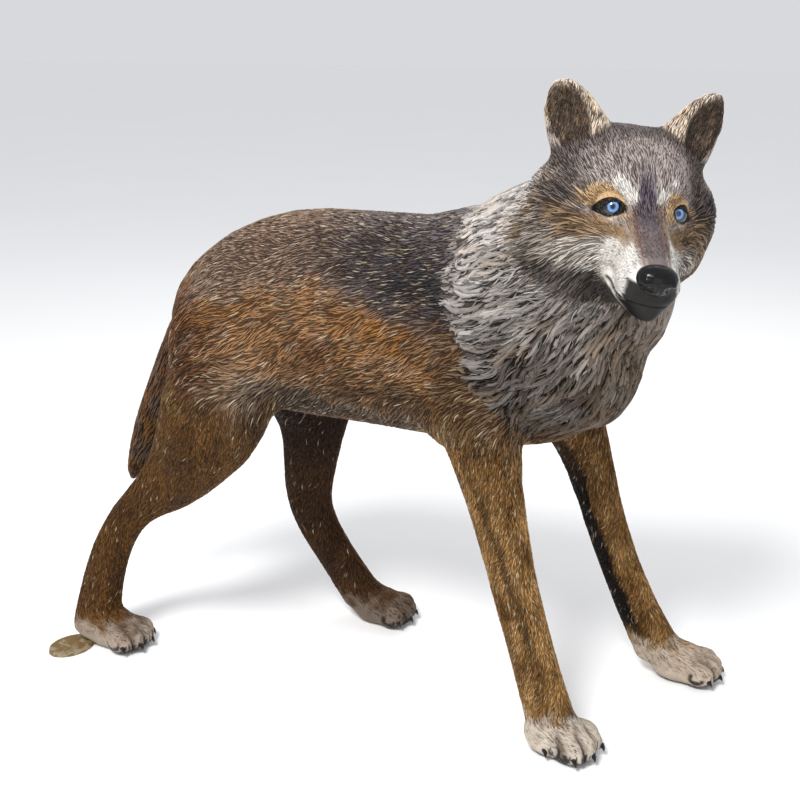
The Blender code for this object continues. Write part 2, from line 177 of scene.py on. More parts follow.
def eye_distance(points):
    """How far each point is from the middle of the nearer eyeball."""
    return np.minimum(*(np.linalg.norm(points - eye, axis=1) for eye in (LEFT_EYE, RIGHT_EYE)))


def leg_share(shares):
    return sum(shares[name] for name in LEGS)


def ripple(points, size, seed=0):
    """Soft noise from -1 to 1 whose waves are about size long: six sines in fixed odd directions."""
    made = np.zeros(len(points))
    spin = np.random.default_rng(seed)
    for _ in range(6):
        direction = spin.normal(size=3)
        direction *= tau / (size * np.linalg.norm(direction)) * spin.uniform(0.7, 1.5)
        made += np.sin(points @ direction + spin.uniform(0, tau))
    return made / 3.2


# ---------------------------------------------------------------- paints


def paint(code):
    """An sRGB hex colour as linear light."""
    channels = [int(code[at : at + 2], 16) / 255 for at in (1, 3, 5)]
    return np.array([c / 12.92 if c <= 0.04045 else ((c + 0.055) / 1.055) ** 2.4 for c in channels])


OCHRE = paint("#8e6945")
GOLD = paint("#8b5c1f")
RUST = paint("#4b2a13")
UMBER = paint("#39291c")
SADDLE = paint("#6a6366")
SLATE = paint("#1f1d21")
SADDLE_BROWN = paint("#786253")
SHOULDER_BROWN = paint("#503b24")
OLIVE = paint("#7a6638")
BELLY_GREY = paint("#786b5d")
RUFF_WHITE = paint("#a6a09b")
RUFF_GREY = paint("#4f4740")
RUFF_BROWN = paint("#433529")
LEG_GOLD = paint("#a6804f")
LEG_BROWN = paint("#61421d")
LEG_DARK = paint("#240f04")
PAW_CREAM = paint("#b0a598")
CROWN_GREY = paint("#998d88")
SIDE_GREY = paint("#4f4642")
BROW_STRIPE = paint("#504957")
BRIDGE_MAUVE = paint("#5e5352")
BRIDGE_RED = paint("#54362c")
EYE_ORANGE = paint("#b4946a")
CHEEK_TAN = paint("#886f54")
FACE_WHITE = paint("#ccc8c1")
CHEEK_GREY = paint("#241d19")
EAR_DARK = paint("#211108")
EAR_RIM = paint("#dbc3a8")
TAIL_DARK = paint("#534237")
DRY_BRUSH = paint("#b5a88f")
BLACK = paint("#040304")


def over(under, colour, amount):
    """The colour brushed over what is under it."""
    return under + (colour - under) * np.clip(amount, 0.0, 1.0)[:, None]


def layered(under, *coats):
    """Coats of paint one over another, each given as its colour and how well it covers at each point."""
    for colour, amount in coats:
        under = over(under, colour, amount)
    return under


def body_paint(points):
    """The trunk: an ochre flank, rusty haunches, a grey belly and a slate and brown saddle."""
    y, z = points[:, 1], points[:, 2]
    rough = 0.016 * ripple(points, 0.10, 1) + 0.010 * ripple(points, 0.025, 2)
    mottle = ripple(points, 0.045, 24) + 0.6 * ripple(points, 0.018, 25)
    along = (y - TRUNK_LOW[1]) / (TRUNK_HIGH[1] - TRUNK_LOW[1])
    flank = np.stack([y, z + rough], 1)
    thigh = near(points, (-0.13, 0.300, 0.420), (0.10, 0.070, 0.055))
    colour = layered(
        OCHRE,
        (SHOULDER_BROWN, smooth(-y, 0.09, 0.16) * 0.8),
        (RUST, smooth(y + rough, 0.16, 0.27) * 0.80),
        *((GOLD, near(flank, place, (0.045, 0.032)) * amount) for place, amount in GOLD_PATCHES),
        (RUST, smooth(mottle, 0.15, 0.9) * 0.42),
        (SADDLE_BROWN, smooth(-mottle, 0.10, 0.9) * 0.50),
        (UMBER, smooth(ripple(points, 0.06, 26), 0.35, 0.9) * 0.30),
        (RUST, near(flank, (0.050, 0.528), (0.045, 0.026)) * 0.62),
        (LEG_BROWN, smooth(0.44 + rough - z, 0.0, 0.06) * 0.5 * smooth(y, 0.12, 0.2)),
        (UMBER, near(points, (-0.13, 0.215, 0.455), (0.10, 0.045, 0.045)) * 0.6),
        (SHOULDER_BROWN, smooth(0.530 + 2 * rough - z, 0.0, 0.035) * smooth(0.14 - y, 0.0, 0.06) * 0.62),
        (RUST, smooth(y + rough, 0.210, 0.260) * smooth(0.575 + rough - z, 0.0, 0.05) * 0.78),
        (OLIVE, thigh * smooth(mottle, -0.5, 0.6) * 0.7),
    )

    belly = 0.452 + 0.045 * smooth(along, 0.30, 0.62)
    in_belly = smooth(belly + rough - z, -0.014, 0.020) * smooth(y, -0.13, -0.05) * smooth(-y, -0.195, -0.150)
    fold = near(points, (-0.12, 0.165, 0.478), (0.10, 0.030, 0.030))
    low_flank = smooth(0.515 + rough - z, 0.0, 0.04) * smooth(z, 0.445, 0.480)
    low_flank = low_flank * smooth(0.10 - y, 0.0, 0.08) * smooth(y, -0.16, -0.10)
    colour = layered(
        colour,
        (BELLY_GREY, in_belly * (0.70 + 0.25 * ripple(points, 0.02, 28))),
        # painted shade along the underside of the belly
        (UMBER, in_belly * smooth(belly - 0.012 - z, 0.0, 0.02) * 0.72),
        (BELLY_GREY * 1.3, fold * smooth(mottle, -0.6, 0.5) * 0.8),
        (UMBER, low_flank * 0.42),
    )

    edge = 0.622 + 0.022 * smooth(along, 0.75, 1.0) + 0.020 * np.sin(y * 16 + 0.6)
    on_back = smooth(z + 1.3 * rough, edge - 0.030, edge + 0.026)
    saddle = over(SADDLE, SADDLE_BROWN, smooth(along + 4 * rough, 0.28, 0.66))
    dark_back = np.exp(-(((z - edge - 0.040) / 0.052) ** 2)) * smooth(0.02 - y + 2 * rough, -0.09, 0.09)
    return layered(
        colour,
        (saddle, on_back * 0.95 * smooth(0.36 - y, 0.0, 0.10)),
        (SLATE, dark_back * 0.85),
        (SLATE, on_back * smooth(-0.02 - y + 2 * rough, 0.0, 0.07) * 0.30),
        (SHOULDER_BROWN, on_back * smooth(ripple(points, 0.02, 27), 0.2, 0.9) * 0.45),
    )


def leg_paint(points, normals, colour):
    """The legs: gold forelegs with a dark stripe on each, brown hind legs, and painted shade inside the far
    hind leg.
    """
    x, y, z = points.T
    rough = 0.010 * ripple(points, 0.06, 3)
    low = smooth(0.455 + 1.5 * rough - z, 0.0, 0.05)
    fore = low * smooth(-y, 0.06, 0.12)
    hind = low - fore
    far = smooth(x, 0.0, 0.05)
    facing_back = normals @ (-0.405, 0.914, 0.0) + 6 * rough
    back_stripe = smooth(facing_back, 0.30, 0.52) * smooth(x, 0.03, 0.06) * smooth(z, 0.05, 0.09)
    middle_line = 0.392 + 2.28 * (y + 0.198) - 0.5 * rough
    side_stripe = np.exp(-(((z - middle_line) / 0.018) ** 2)) * smooth(-x, 0.07, 0.09) * smooth(z, 0.12, 0.18)
    blotches = smooth(0.5 * ripple(points, 0.07, 5) + 0.4, 0.1, 0.9)
    # painted shade: the inner side of the far legs, turned towards the near legs, is darkened
    far_inner_shade = far * smooth(0.45 - normals[:, 0] + 4 * rough, 0.0, 0.6)
    return layered(
        colour,
        (over(LEG_BROWN, LEG_GOLD, 0.55 + 0.45 * ripple(points, 0.05, 4)), fore),
        (LEG_BROWN, fore * far * 0.40),
        (LEG_DARK * 0.30, fore * back_stripe),
        (LEG_DARK, fore * side_stripe * 0.7),
        (LEG_BROWN, fore * smooth(z, 0.30, 0.42) * 0.55),
        (LEG_BROWN, hind * 0.75),
        (LEG_DARK, hind * blotches * 0.38),
        (LEG_DARK, hind * far_inner_shade * (0.66 + 0.28 * smooth(z, 0.25, 0.36))),
    )


def paw_paint(points, colour):
    """Cream paws with umber between the toes and black brush strokes over the claws and along the sole."""
    x, y, z = points.T
    fore = smooth(-y, 0.10, 0.20)
    far = smooth(x, 0.0, 0.05)
    cream = smooth(0.074 - 0.018 * (1 - fore) - z - 0.010 * ripple(points, 0.03, 6), 0.0, 0.030)
    gap, ahead, across = toe_gaps(points)
    streak = np.sin(across * 88 + 2.0 * ripple(points, 0.03, 20)) + 0.6 * np.sin(across * 141 + 1.3)
    over_claws = smooth(0.0155 + 0.0085 * streak + 0.006 * gap - z, -0.0015, 0.0025)
    sole = smooth(0.0075 + 0.002 * streak - z, 0.0, 0.003) * smooth(fore, 0.4, 0.8)
    return layered(
        colour,
        # the far hind paw keeps less of the cream: painted shade
        (PAW_CREAM, cream * (0.55 + 0.40 * fore) * (1 - 0.65 * (1 - fore) * far)),
        (CHEEK_TAN, cream * fore * far * 0.35),
        (LEG_BROWN, cream * smooth(ripple(points, 0.02, 7), 0.2, 0.9) * smooth(z, 0.02, 0.06) * 0.45),
        (UMBER, gap * ahead * smooth(0.056 - z, 0.0, 0.02) * 0.80),
        (BLACK, np.maximum(over_claws * smooth(ahead, 0.35, 0.8), sole * 0.85) * 0.93),
    )


def ruff_edge(z):
    """Where the ruff ends towards the tail, by height."""
    heights, ends = np.array(RUFF_EDGE).T
    return np.interp(z, heights, ends)


def ruff_share(points):
    """1 on the pale ruff of the neck and chest."""
    y, z = points[:, 1], points[:, 2]
    edge = ruff_edge(z) + 0.008 * ripple(points, 0.05, 8) + 0.005 * ripple(points, 0.014, 9)
    return smooth(edge - y, -0.010, 0.012) * smooth(z + 0.016 * ripple(points, 0.035, 45), 0.400, 0.440)


def ruff_paint(points, colour):
    """Off-white locks, greyer, browner and darker down the chest: partly their own colour, partly painted
    shade.
    """
    x, z = points[:, 0], points[:, 2]
    tone = 0.55 + 0.40 * ripple(points, 0.045, 10) + 0.25 * ripple(points, 0.016, 11)
    low = smooth(0.66 - z - 0.10 * (x - 0.02), 0.0, 0.16)
    ruff = layered(
        RUFF_WHITE,
        # the lower ruff greyer and browner: partly its own colour, partly painted shade
        (RUFF_GREY, 0.10 + 0.50 * low + 0.55 * (0.45 - tone)),
        (RUFF_BROWN, smooth(0.5 * ripple(points, 0.06, 16) + low - 0.2, 0.2, 1.0) * 0.65),
        (UMBER, smooth(0.470 - z, 0.0, 0.04) * 0.6),
        # painted shadow of the head on the chest under the chin
        (CHEEK_TAN * 0.8, near(points, (-0.035, -0.400, 0.585), (0.08, 0.09, 0.085)) * 0.60),
        (CHEEK_TAN, smooth(ripple(points, 0.05, 12), 0.1, 0.8) * 0.34),
        (LEG_BROWN, smooth(0.490 + 0.014 * ripple(points, 0.03, 46) - z, 0.0, 0.05) * 0.45),
    )
    # painted shade: the ruff is darkened below its top
    ruff = ruff * (0.84 + 0.34 * smooth(z, 0.64, 0.75))[:, None]
    return over(colour, ruff, ruff_share(points))


def almond(local):
    """Under 1 inside the black almond that is painted round each eye."""
    found = np.full(len(local), 9.0)
    for side in BOTH:
        offset = local - mirrored(ALMOND_MIDDLE, side)
        along = offset @ mirrored(ALMOND_LENGTHWISE, side)
        up = offset @ unit(mirrored(ALMOND_UPRIGHT, side)) + 0.0025 * (along / 0.024) ** 2 - 0.0010
        along = along / np.where(along > 0, 0.0262, 0.0200)
        up = up / np.where(up > 0, 0.0122, 0.0108)
        found = np.where(np.sign(local[:, 0]) == side, np.abs(along) ** 1.45 + np.abs(up) ** 1.65, found)
    return found


def stroke(local, path, width):
    """1 along a brush stroke on either side of the head and 0 away from it."""
    folded = np.where(local[:, :1] > 0, local * (-1, 1, 1), local)
    return np.exp(-((path_distance(folded, path) / width) ** 2))


def head_paint(points):
    """The crown, the cheeks, the throat and the pale sides behind the cheeks."""
    x, y, z = in_head(points).T
    wide = np.abs(x - FACE_X)
    rough = face_roughness(points)
    streaks = ripple(points, 0.020, 23)
    ahead = smooth(0.060 + 2 * rough - y, 0.0, 0.020)
    side = np.maximum(smooth(wide + 2 * rough, 0.050, 0.085), smooth(y + 2 * rough, 0.04, 0.08))
    under_eye = smooth(-0.004 + rough - z, 0.0, 0.012) * smooth(wide, 0.020, 0.028)
    cheek = smooth(-0.015 - 0.27 * wide + rough - z, 0.0, 0.010)
    cheek = cheek * smooth(0.118 + 3 * rough - wide, 0.0, 0.035)
    # less white on the head's left cheek, the side turned from the light: painted shade
    white = 0.86 - 0.20 * smooth(wide, 0.045, 0.065) - 0.50 * smooth(x, 0.060, 0.085)
    ruffled = smooth(-0.018 + 2 * rough - z, 0.0, 0.030) * smooth(wide + 2 * rough, 0.078, 0.100)
    behind = smooth(y + 2 * rough, 0.045, 0.075) * smooth(0.030 + 2 * rough - z, 0.0, 0.025)
    collar = smooth(y + 2 * rough, 0.086, 0.104) * smooth(0.035 - z, 0.0, 0.03)
    low_cheek = smooth(-0.070 + rough - z, 0.0, 0.012) * smooth(wide, 0.030, 0.045)
    throat = smooth(-0.081 + rough - z, 0.0, 0.008) * smooth(y, -0.105, -0.090)
    return layered(
        CROWN_GREY,
        (SIDE_GREY, side * 0.9),
        (CHEEK_TAN, ahead * under_eye * (1 - 0.6 * smooth(wide, 0.085, 0.115))),
        (FACE_WHITE, cheek * ahead * (white + 0.10 * ripple(points, 0.012, 44))),
        (CHEEK_TAN, cheek * smooth(ripple(points, 0.022, 17), 0.2, 0.8) * smooth(wide, 0.06, 0.09) * 0.55),
        # less pale behind the head's left cheek, the side turned from the light: painted shade
        (RUFF_WHITE, ruffled * (0.50 + 0.40 * streaks) * (1 - 0.7 * smooth(x, 0.02, 0.06))),
        (CHEEK_TAN, behind * 0.85),
        (RUFF_WHITE, behind * (0.55 + 0.55 * streaks)),
        (RUFF_WHITE * 1.4, collar * (0.80 + 0.3 * streaks)),
        (RUFF_GREY, low_cheek * smooth(y, -0.060, -0.040) * 0.75),
        (CHEEK_GREY, throat * (0.93 - 0.45 * smooth(wide, 0.04, 0.07))),
    )


def mask_paint(points, face):
    """The mask on the face: orange brows, a dark stripe, a mauve bridge, black lips and black almonds."""
    local = in_head(points)
    x, y, z = local.T
    wide = np.abs(x - FACE_X)
    rough = face_roughness(points)
    brow_top = 0.0315 - 0.95 * np.maximum(0.0, wide - 0.048)
    brow = smooth(brow_top + 1.5 * rough - z, -0.001, 0.007) * smooth(z, -0.008, 0.000)
    brow = brow * smooth(wide, 0.021, 0.028) * smooth(0.040 - y, 0.0, 0.012)
    spot = smooth(stroke(local - (FACE_X, 0, 0), BROW_SPOT, 0.0098) + 20 * rough, 0.30, 0.62)
    stripe = smooth(0.0118 + 0.8 * rough - wide, -0.0035, 0.0035) * smooth(z, -0.016, -0.002)
    stripe = stripe * smooth(0.066 - z, 0.0, 0.045) * smooth(0.075 - y, 0.0, 0.03)
    on_bridge = smooth(-y, 0.018, 0.034) * smooth(z, -0.064, -0.052)
    mauve = smooth(0.0125 - wide, -0.002, 0.002) * on_bridge * (1 - 0.5 * stripe)
    red_edge = np.exp(-(((wide - 0.0155) / 0.0038) ** 2)) * on_bridge
    tan_edge = np.exp(-(((wide - 0.0205) / 0.0030) ** 2)) * on_bridge * smooth(y, -0.085, -0.060)
    muzzle_side = smooth(wide, 0.0198, 0.0235) * smooth(-y, 0.052, 0.072) * smooth(z, -0.086, -0.082)
    return layered(
        face,
        (EYE_ORANGE, brow * 0.92),
        (FACE_WHITE, spot * 0.95),
        (BROW_STRIPE, stripe * 0.95),
        (BRIDGE_MAUVE, mauve * 0.95),
        (BRIDGE_RED, red_edge * 0.80),
        (CHEEK_TAN, tan_edge * 0.7),
        (FACE_WHITE, muzzle_side * 0.95),
        (UMBER, stroke(local, EYE_CORNER, 0.0016) * 0.85),
        (EAR_RIM, stroke(local, LOWER_LID, 0.0016) * 0.8),
        (FACE_WHITE, np.exp(-((line_distance(local, LIP_EDGE) / 0.0018) ** 2)) * 0.8),
        (BLACK, lip_share(local) * 0.97),
        (BLACK, smooth(1.13 - almond(local), 0.0, 0.10) * 0.99),
    )


def face_roughness(points):
    """How far the brush strays from each edge of the mask, in metres."""
    return 0.003 * ripple(points, 0.030, 13) + 0.0016 * ripple(points, 0.009, 14)


def ear_paint(points, colour, on_ear):
    """Off-white rims and backs over a grey foot."""
    height = in_head(points)[:, 2]
    foot = smooth(0.075 - height + 0.006 * ripple(points, 0.02, 42), 0.0, 0.015)
    return layered(
        colour,
        (EAR_RIM, on_ear * (0.62 + 0.3 * ripple(points, 0.014, 41))),
        (FACE_WHITE, on_ear * smooth(height, 0.118, 0.132) * 0.3),
        (CROWN_GREY, on_ear * foot * 0.7),
    )


def hollow_share(points, normals):
    """1 in the hollows of the ears."""
    local = in_head(points)
    found = np.zeros(len(points))
    for side in BOTH:
        lean = Euler((0, side * EAR_SPLAY - EAR_LEAN, 0)).to_matrix()
        turn = np.array(lean @ Euler((0, 0, side * EAR_TWIST)).to_matrix())
        ear = (local - mirrored(EAR_FOOT, side)) @ turn
        across, up = (ear[:, 0] - side * 0.0040) / 0.0258, (ear[:, 2] - 0.038) / 0.044
        inside = smooth(1.12 - (across**2 + np.abs(up) ** 2.2), 0.0, 0.30)
        inside = inside * smooth(-ear[:, 1], -0.008, -0.004)
        facing = smooth(normals @ HEAD @ turn @ (0.0, -1.0, 0.0), 0.15, 0.45)
        found = np.maximum(found, inside * facing)
    return found


def whole_paint(points, normals, shares, hollow):
    """The colour of every point of the statue."""
    on_ear = shares["ear_left"] + shares["ear_right"]
    colour = leg_paint(points, normals, body_paint(points))
    colour = paw_paint(points, ruff_paint(points, colour))
    colour = over(colour, TAIL_DARK, shares["tail"] * (0.4 + 0.5 * ripple(points, 0.05, 15)))
    face = mask_paint(points, head_paint(points))
    colour = over(colour, face, smooth(shares["head"], 0.25, 0.6))
    colour = ear_paint(points, colour, smooth(on_ear, 0.3, 0.7))
    stipple = 0.50 + 1.7 * smooth(ripple(points, 0.006, 18), -0.2, 0.8)[:, None]
    return layered(
        colour,
        (EAR_DARK * stipple, hollow * 0.93),
        (CHEEK_TAN, hollow * smooth(ripple(points, 0.009, 43), 0.35, 0.8) * 0.5),
    )


# ---------------------------------------------------------------- mesh helpers


def coordinates(mesh):
    flat = np.empty(len(mesh.vertices) * 3)
    mesh.vertices.foreach_get("co", flat)
    return flat.reshape(-1, 3)


def move_to(mesh, points):
    mesh.vertices.foreach_set("co", points.astype(np.float32).ravel())
    mesh.update()


def normals_of(mesh):
    flat = np.empty(len(mesh.vertices) * 3, np.float32)
    mesh.vertex_normals.foreach_get("vector", flat)
    return flat.reshape(-1, 3).astype(float)


def edges_of(mesh):
    flat = np.empty(len(mesh.edges) * 2, np.int32)
    mesh.edges.foreach_get("vertices", flat)
    return flat.reshape(-1, 2)


def neighbour_mean(values, edges):
    ends = np.concatenate([edges, edges[:, ::-1]])
    count = np.maximum(np.bincount(ends[:, 0], minlength=len(values)), 1)
    here, there = ends.T
    sums = [np.bincount(here, weights=column[there], minlength=len(values)) for column in values.T]
    return np.stack(sums, 1) / count[:, None]


def relaxed(values, edges, times, share=0.5):
    """Values spread over the mesh. The share is how far each goes towards its neighbours' mean."""
    for _ in range(times):
        values = values + share * (neighbour_mean(values, edges) - values)
    return values


def new_object(name, mesh):
    made = bpy.data.objects.new(name, mesh)
    bpy.context.scene.collection.objects.link(made)
    return made


def with_modifier(mesh, kind, **settings):
    """The mesh that a modifier makes of this one."""
    holder = new_object("holder", mesh)
    modifier = holder.modifiers.new("step", kind)
    for key, value in settings.items():
        setattr(modifier, key, value)
    graph = bpy.context.evaluated_depsgraph_get()
    made = bpy.data.meshes.new_from_object(holder.evaluated_get(graph))
    bpy.data.objects.remove(holder)
    return made


def give_numbers(mesh, **columns):
    """Stores one number or colour for each point, for the materials to read."""
    for name, values in columns.items():
        if values.ndim == 1:
            layer = mesh.attributes.new(name, "FLOAT", "POINT")
            layer.data.foreach_set("value", values.astype(np.float32))
        else:
            layer = mesh.attributes.new(name, "FLOAT_COLOR", "POINT")
            rgba = np.ones((len(values), 4), np.float32)
            rgba[:, :3] = values
            layer.data.foreach_set("color", rgba.ravel())


# ---------------------------------------------------------------- the skin


def joined(nodes):
    form = bmesh.new()
    for name in nodes:
        form.from_mesh(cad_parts[name].data)
    mesh = bpy.data.meshes.new("joined")
    form.to_mesh(mesh)
    form.free()
    return mesh


def split_where(mesh, wanted):
    """Splits the edges at the wanted places in two and softens the new points."""
    points, edges = coordinates(mesh), edges_of(mesh)
    chosen = [int(index) for index in np.nonzero(wanted(points[edges].mean(1)))[0]]
    form = bmesh.new()
    form.from_mesh(mesh)
    form.edges.ensure_lookup_table()
    bmesh.ops.subdivide_edges(form, edges=[form.edges[index] for index in chosen], cuts=1, use_grid_fill=True)
    bmesh.ops.triangulate(form, faces=[face for face in form.faces if len(face.verts) > 4])
    form.to_mesh(mesh)
    form.free()
    points, edges = coordinates(mesh), edges_of(mesh)
    inside = wanted(points)[:, None]
    for _ in range(3):
        points = points + 0.5 * inside * (neighbour_mean(points, edges) - points)
    move_to(mesh, points)


def within(points, centre, radii):
    return np.linalg.norm((in_head(points) - np.array(centre)) / np.array(radii), axis=1) < 1.0


def near_lips(points, reach):
    return line_distance(in_head(points), MOUTH) < reach


def fine_places(points):
    """The face, the ears and the paws."""
    found = within(points, (0, -0.040, -0.030), (0.080, 0.095, 0.075)) | (points[:, 2] < 0.070)
    for side in BOTH:
        found |= within(points, (side * 0.086, 0.098, 0.085), (0.050, 0.050, 0.065))
    return found


def finer_places(points):
    """The muzzle, the eyes and the lips."""
    found = within(points, (0, -0.078, -0.052), (0.045, 0.062, 0.045))
    return found | (eye_distance(points) < 0.036) | near_lips(points, 0.012)


def finest_places(points):
    """The eyelids and the line between the lips."""
    return (eye_distance(points) < 0.025) | near_lips(points, 0.0045)


def pushed(local, pushes):
    """Pushes the clay round each place of the table."""
    for sides, centre, radii, push in pushes:
        for side in sides:
            local = local + near(local, mirrored(centre, side), radii)[:, None] * mirrored(push, side)
    return local


def shape_eyelids(local):
    """Opens an almond over each eyeball, with a raised lip that fades into the brow and the cheek."""
    for side in BOTH:
        centre = np.array((side * EYE_X, 0.0, 0.0))
        ahead = np.array((side * sin(EYE_OUTWARD), -cos(EYE_OUTWARD), 0.0))
        outward = np.array((side * cos(EYE_OUTWARD), sin(EYE_OUTWARD), 0.0))
        offset = local - centre
        reach = np.linalg.norm(offset, axis=1)
        ray = unit(offset)
        along = np.degrees(np.arctan2(ray @ outward, ray @ ahead))
        rise = np.degrees(np.arcsin(np.clip(ray[:, 2], -1, 1))) + 0.15 * along - 5.0
        tall = np.where(rise > 0, 38.0, 31.0)
        span = np.where(along > 0, 66.0, 58.0)
        inside = (np.abs(along) / span) ** 1.55 + (np.abs(rise) / tall) ** 1.45
        beyond = (inside**0.66 - 1.0) * 9.0  # about millimetres outside the rim
        target = EYE_RADIUS + np.where(beyond < 0, -0.0026 + 0.0040 * smooth(beyond, -1.0, 0.3), 0.0014)
        crease = -0.0012 * np.exp(-(((beyond - 3.4) / 1.0) ** 2)) * (rise > 0)
        blend = np.maximum(smooth(beyond, 1.2, 11.0), smooth(reach, 0.019, 0.027))
        facing = smooth(ray @ ahead, 0.05, 0.30)
        wanted = target * (1 - blend) + reach * blend + crease * facing
        reach = reach + (wanted - reach) * facing * (1 - smooth(reach, 0.024, 0.032))
        local = centre + ray * reach[:, None]
    return local


def path_distance(points, path):
    """How far each point is from a line through the places of the path."""
    nearest = np.full(len(points), 1.0)
    for start, end in zip(path, path[1:]):
        start, way = np.array(start), np.array(end) - np.array(start)
        t = np.clip(((points - start) @ way) / (way @ way), 0, 1)
        nearest = np.minimum(nearest, np.linalg.norm(points - start - t[:, None] * way, axis=1))
    return nearest


def line_distance(local, line):
    """How far each point of the muzzle is above or below a line of (y, z) places that runs round it."""
    ahead, up = np.array(sorted(line)).T
    past = np.maximum(0.0, np.maximum(local[:, 1] - ahead[-1], ahead[0] - local[:, 1]))
    height = local[:, 2] - np.interp(local[:, 1], ahead, up)
    return np.where(np.abs(local[:, 0]) < 0.060, np.hypot(height, past), 1.0)


def lip_share(local):
    """1 on the black front of the lips, beside and under the nose, and on the line between the lips."""
    x, y, z = local.T
    wide = np.abs(x - FACE_X)
    rise = 0.30 * (-y - 0.098) + 0.9 * np.clip(0.0175 - wide, -0.004, 0.0175)
    front = smooth(rise - z, 0.0700, 0.0735) * smooth(-y, 0.0860, 0.0910)
    chin = smooth(-z, 0.085, 0.088) * smooth(-y, 0.074, 0.084)
    narrow = smooth(0.045 - wide, 0.0, 0.01)
    beside_nose = near(np.stack([wide, y, z], 1), (0.022, -0.106, -0.071), (0.013, 0.013, 0.0070))
    under_nose = smooth(0.036 - wide, 0.0, 0.008) * smooth(-y, 0.090, 0.097) * smooth(-z, 0.0545, 0.0590)
    parting = np.exp(-((line_distance(local, MOUTH) / 0.0024) ** 2))
    black = [front * narrow, chin * narrow, smooth(beside_nose, 0.30, 0.50), under_nose, parting]
    return np.maximum.reduce(black)


def shape_head(points):
    local = pushed(in_head(points), HEAD_PUSHES)
    for side in BOTH:  # the ears swell a little above their feet
        offset = local - mirrored(EAR_FOOT, side)
        on_ear = smooth(0.075 - np.linalg.norm(offset - (side * 0.012, 0, 0.040), axis=1), 0.0, 0.02)
        local = local + offset * (on_ear * smooth(offset[:, 2], 0.005, 0.035) * 0.07)[:, None]
    return from_head(shape_eyelids(local))


def in_paw(points, name):
    """Place across the paw, in its widths, and place ahead of its middle, in its lengths."""
    (foot_x, foot_y), heading, length, width = PAWS[name]
    x, y = points[:, 0] - foot_x, points[:, 1] - foot_y
    ahead = (x * sin(heading) - y * cos(heading)) / length
    across = (x * cos(heading) + y * sin(heading)) / width
    return across / (1 + 0.35 * np.clip(ahead - 0.2, -0.2, 0.6)), ahead


def toe_gaps(points):
    """1 in the gaps between the toes, then 1 over the front of the paws, then the place across the paw."""
    gaps, fronts, places = np.zeros((3, len(points)))
    for name in PAWS:
        across, ahead = in_paw(points, name)
        beside = (np.abs(across) < 0.75) & (np.abs(ahead) < 0.80) & (points[:, 2] < PAW_TOP)
        gap = sum(np.exp(-(((across - place) / 0.042) ** 2)) for place in TOE_GAPS)
        gaps = np.where(beside, gap, gaps)
        fronts = np.where(beside, smooth(ahead + 0.35 * np.abs(across), 0.12, 0.34), fronts)
        places = np.where(beside, across, places)
    return gaps, fronts, places


def shape_paws(points):
    """Deepens the gaps between the toes and arches the toes between them."""
    gap, ahead, _ = toe_gaps(points)
    low = smooth(0.052 - points[:, 2], 0.0, 0.02)
    knuckle = (1 - gap) * np.exp(-(((points[:, 2] - 0.034) / 0.012) ** 2))
    for foot, heading, _, _ in PAWS.values():
        way = np.array((sin(heading), -cos(heading), 0.0))
        mine = np.linalg.norm(points[:, :2] - np.array(foot), axis=1) < 0.10
        inward = -0.0065 * gap[:, None] * (way * 0.75 + (0, 0, 0.62))
        outward = 0.0022 * knuckle[:, None] * (way + (0, 0, 0.5))
        points = points + (mine * ahead * low)[:, None] * (inward + outward)
    points[:, 2] = np.maximum(points[:, 2], 0.0)
    return points


def make_skin():
    mesh = joined([*FLESH, "eye_left", "eye_right", "nose"])
    mesh = with_modifier(mesh, "REMESH", mode="VOXEL", voxel_size=6.2 * MM)
    mesh = with_modifier(mesh, "SMOOTH", factor=0.5, iterations=4)
    for places in (fine_places, finer_places, finest_places):
        split_where(mesh, places)
    move_to(mesh, shape_paws(shape_head(coordinates(mesh))))
    return mesh


# ---------------------------------------------------------------- the lie of the coat


def owner_shares(points, edges):
    """For each cast part, 1 on it and 0 off it, softened where two parts meet."""
    form = bmesh.new()
    owner = []
    for index, name in enumerate(FLESH):
        form.from_mesh(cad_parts[name].data)
        owner += [index] * (len(form.faces) - len(owner))
    tree = BVHTree.FromBMesh(form)
    form.free()
    found = np.array([owner[tree.find_nearest(point)[2]] for point in points])
    table = (found[:, None] == np.arange(len(FLESH))).astype(float)
    table = relaxed(table, edges, 12, 0.7)
    return {name: table[:, index] for index, name in enumerate(FLESH)}


def part_ways(points, normals):
    """The way that the fur lies on each kind of part, before it is turned along the skin."""
    local = in_head(points)
    x, y, z = points.T
    ones = np.ones(len(x))
    front, up = np.clip(-normals[:, 1], 0, 1), np.clip(normals[:, 2], 0, 1)

    droop = smooth(np.abs(local[:, 0]), 0.035, 0.085) * smooth(-local[:, 2], -0.015, 0.05)
    under_jaw = smooth(-local[:, 2], 0.085, 0.110) * smooth(local[:, 1], -0.09, -0.03)
    away = unit(local - (NOSE + (0, -0.006, 0.004)))
    away = away + droop[:, None] * (0.0, 0.25, -0.95) + under_jaw[:, None] * (0, 0.3, -0.6)

    neck_down = 0.35 + 0.55 * front + 0.35 * smooth(0.70 - z, 0, 0.12)
    neck = np.stack([-0.10 * np.sign(x) * front, 1.0 - 0.95 * front, -neck_down], 1)

    under = smooth(0.50 - z, 0.0, 0.06) * smooth(0.36 - np.abs(y + 0.02) * 2, 0.0, 0.1)
    trunk_down = 0.50 - 0.45 * up + 1.6 * under + 0.9 * smooth(y, 0.20, 0.33)
    trunk = np.stack([0 * x, ones, -trunk_down], 1)

    leg = np.stack([0 * x, 0.18 + 0.25 * smooth(y, 0.05, 0.2) * smooth(z, 0.18, 0.3), -ones], 1)
    on_paw = smooth(PAW_TOP - z, 0.0, 0.03)[:, None]
    leg = leg * (1 - on_paw) + on_paw * (0.0, -1.0, -0.55)
    ear = unit(np.array((0.10, 0.10, 1.0)))[None] @ HEAD.T
    return unit(away) @ HEAD.T, unit(neck), unit(trunk), unit(leg), ear


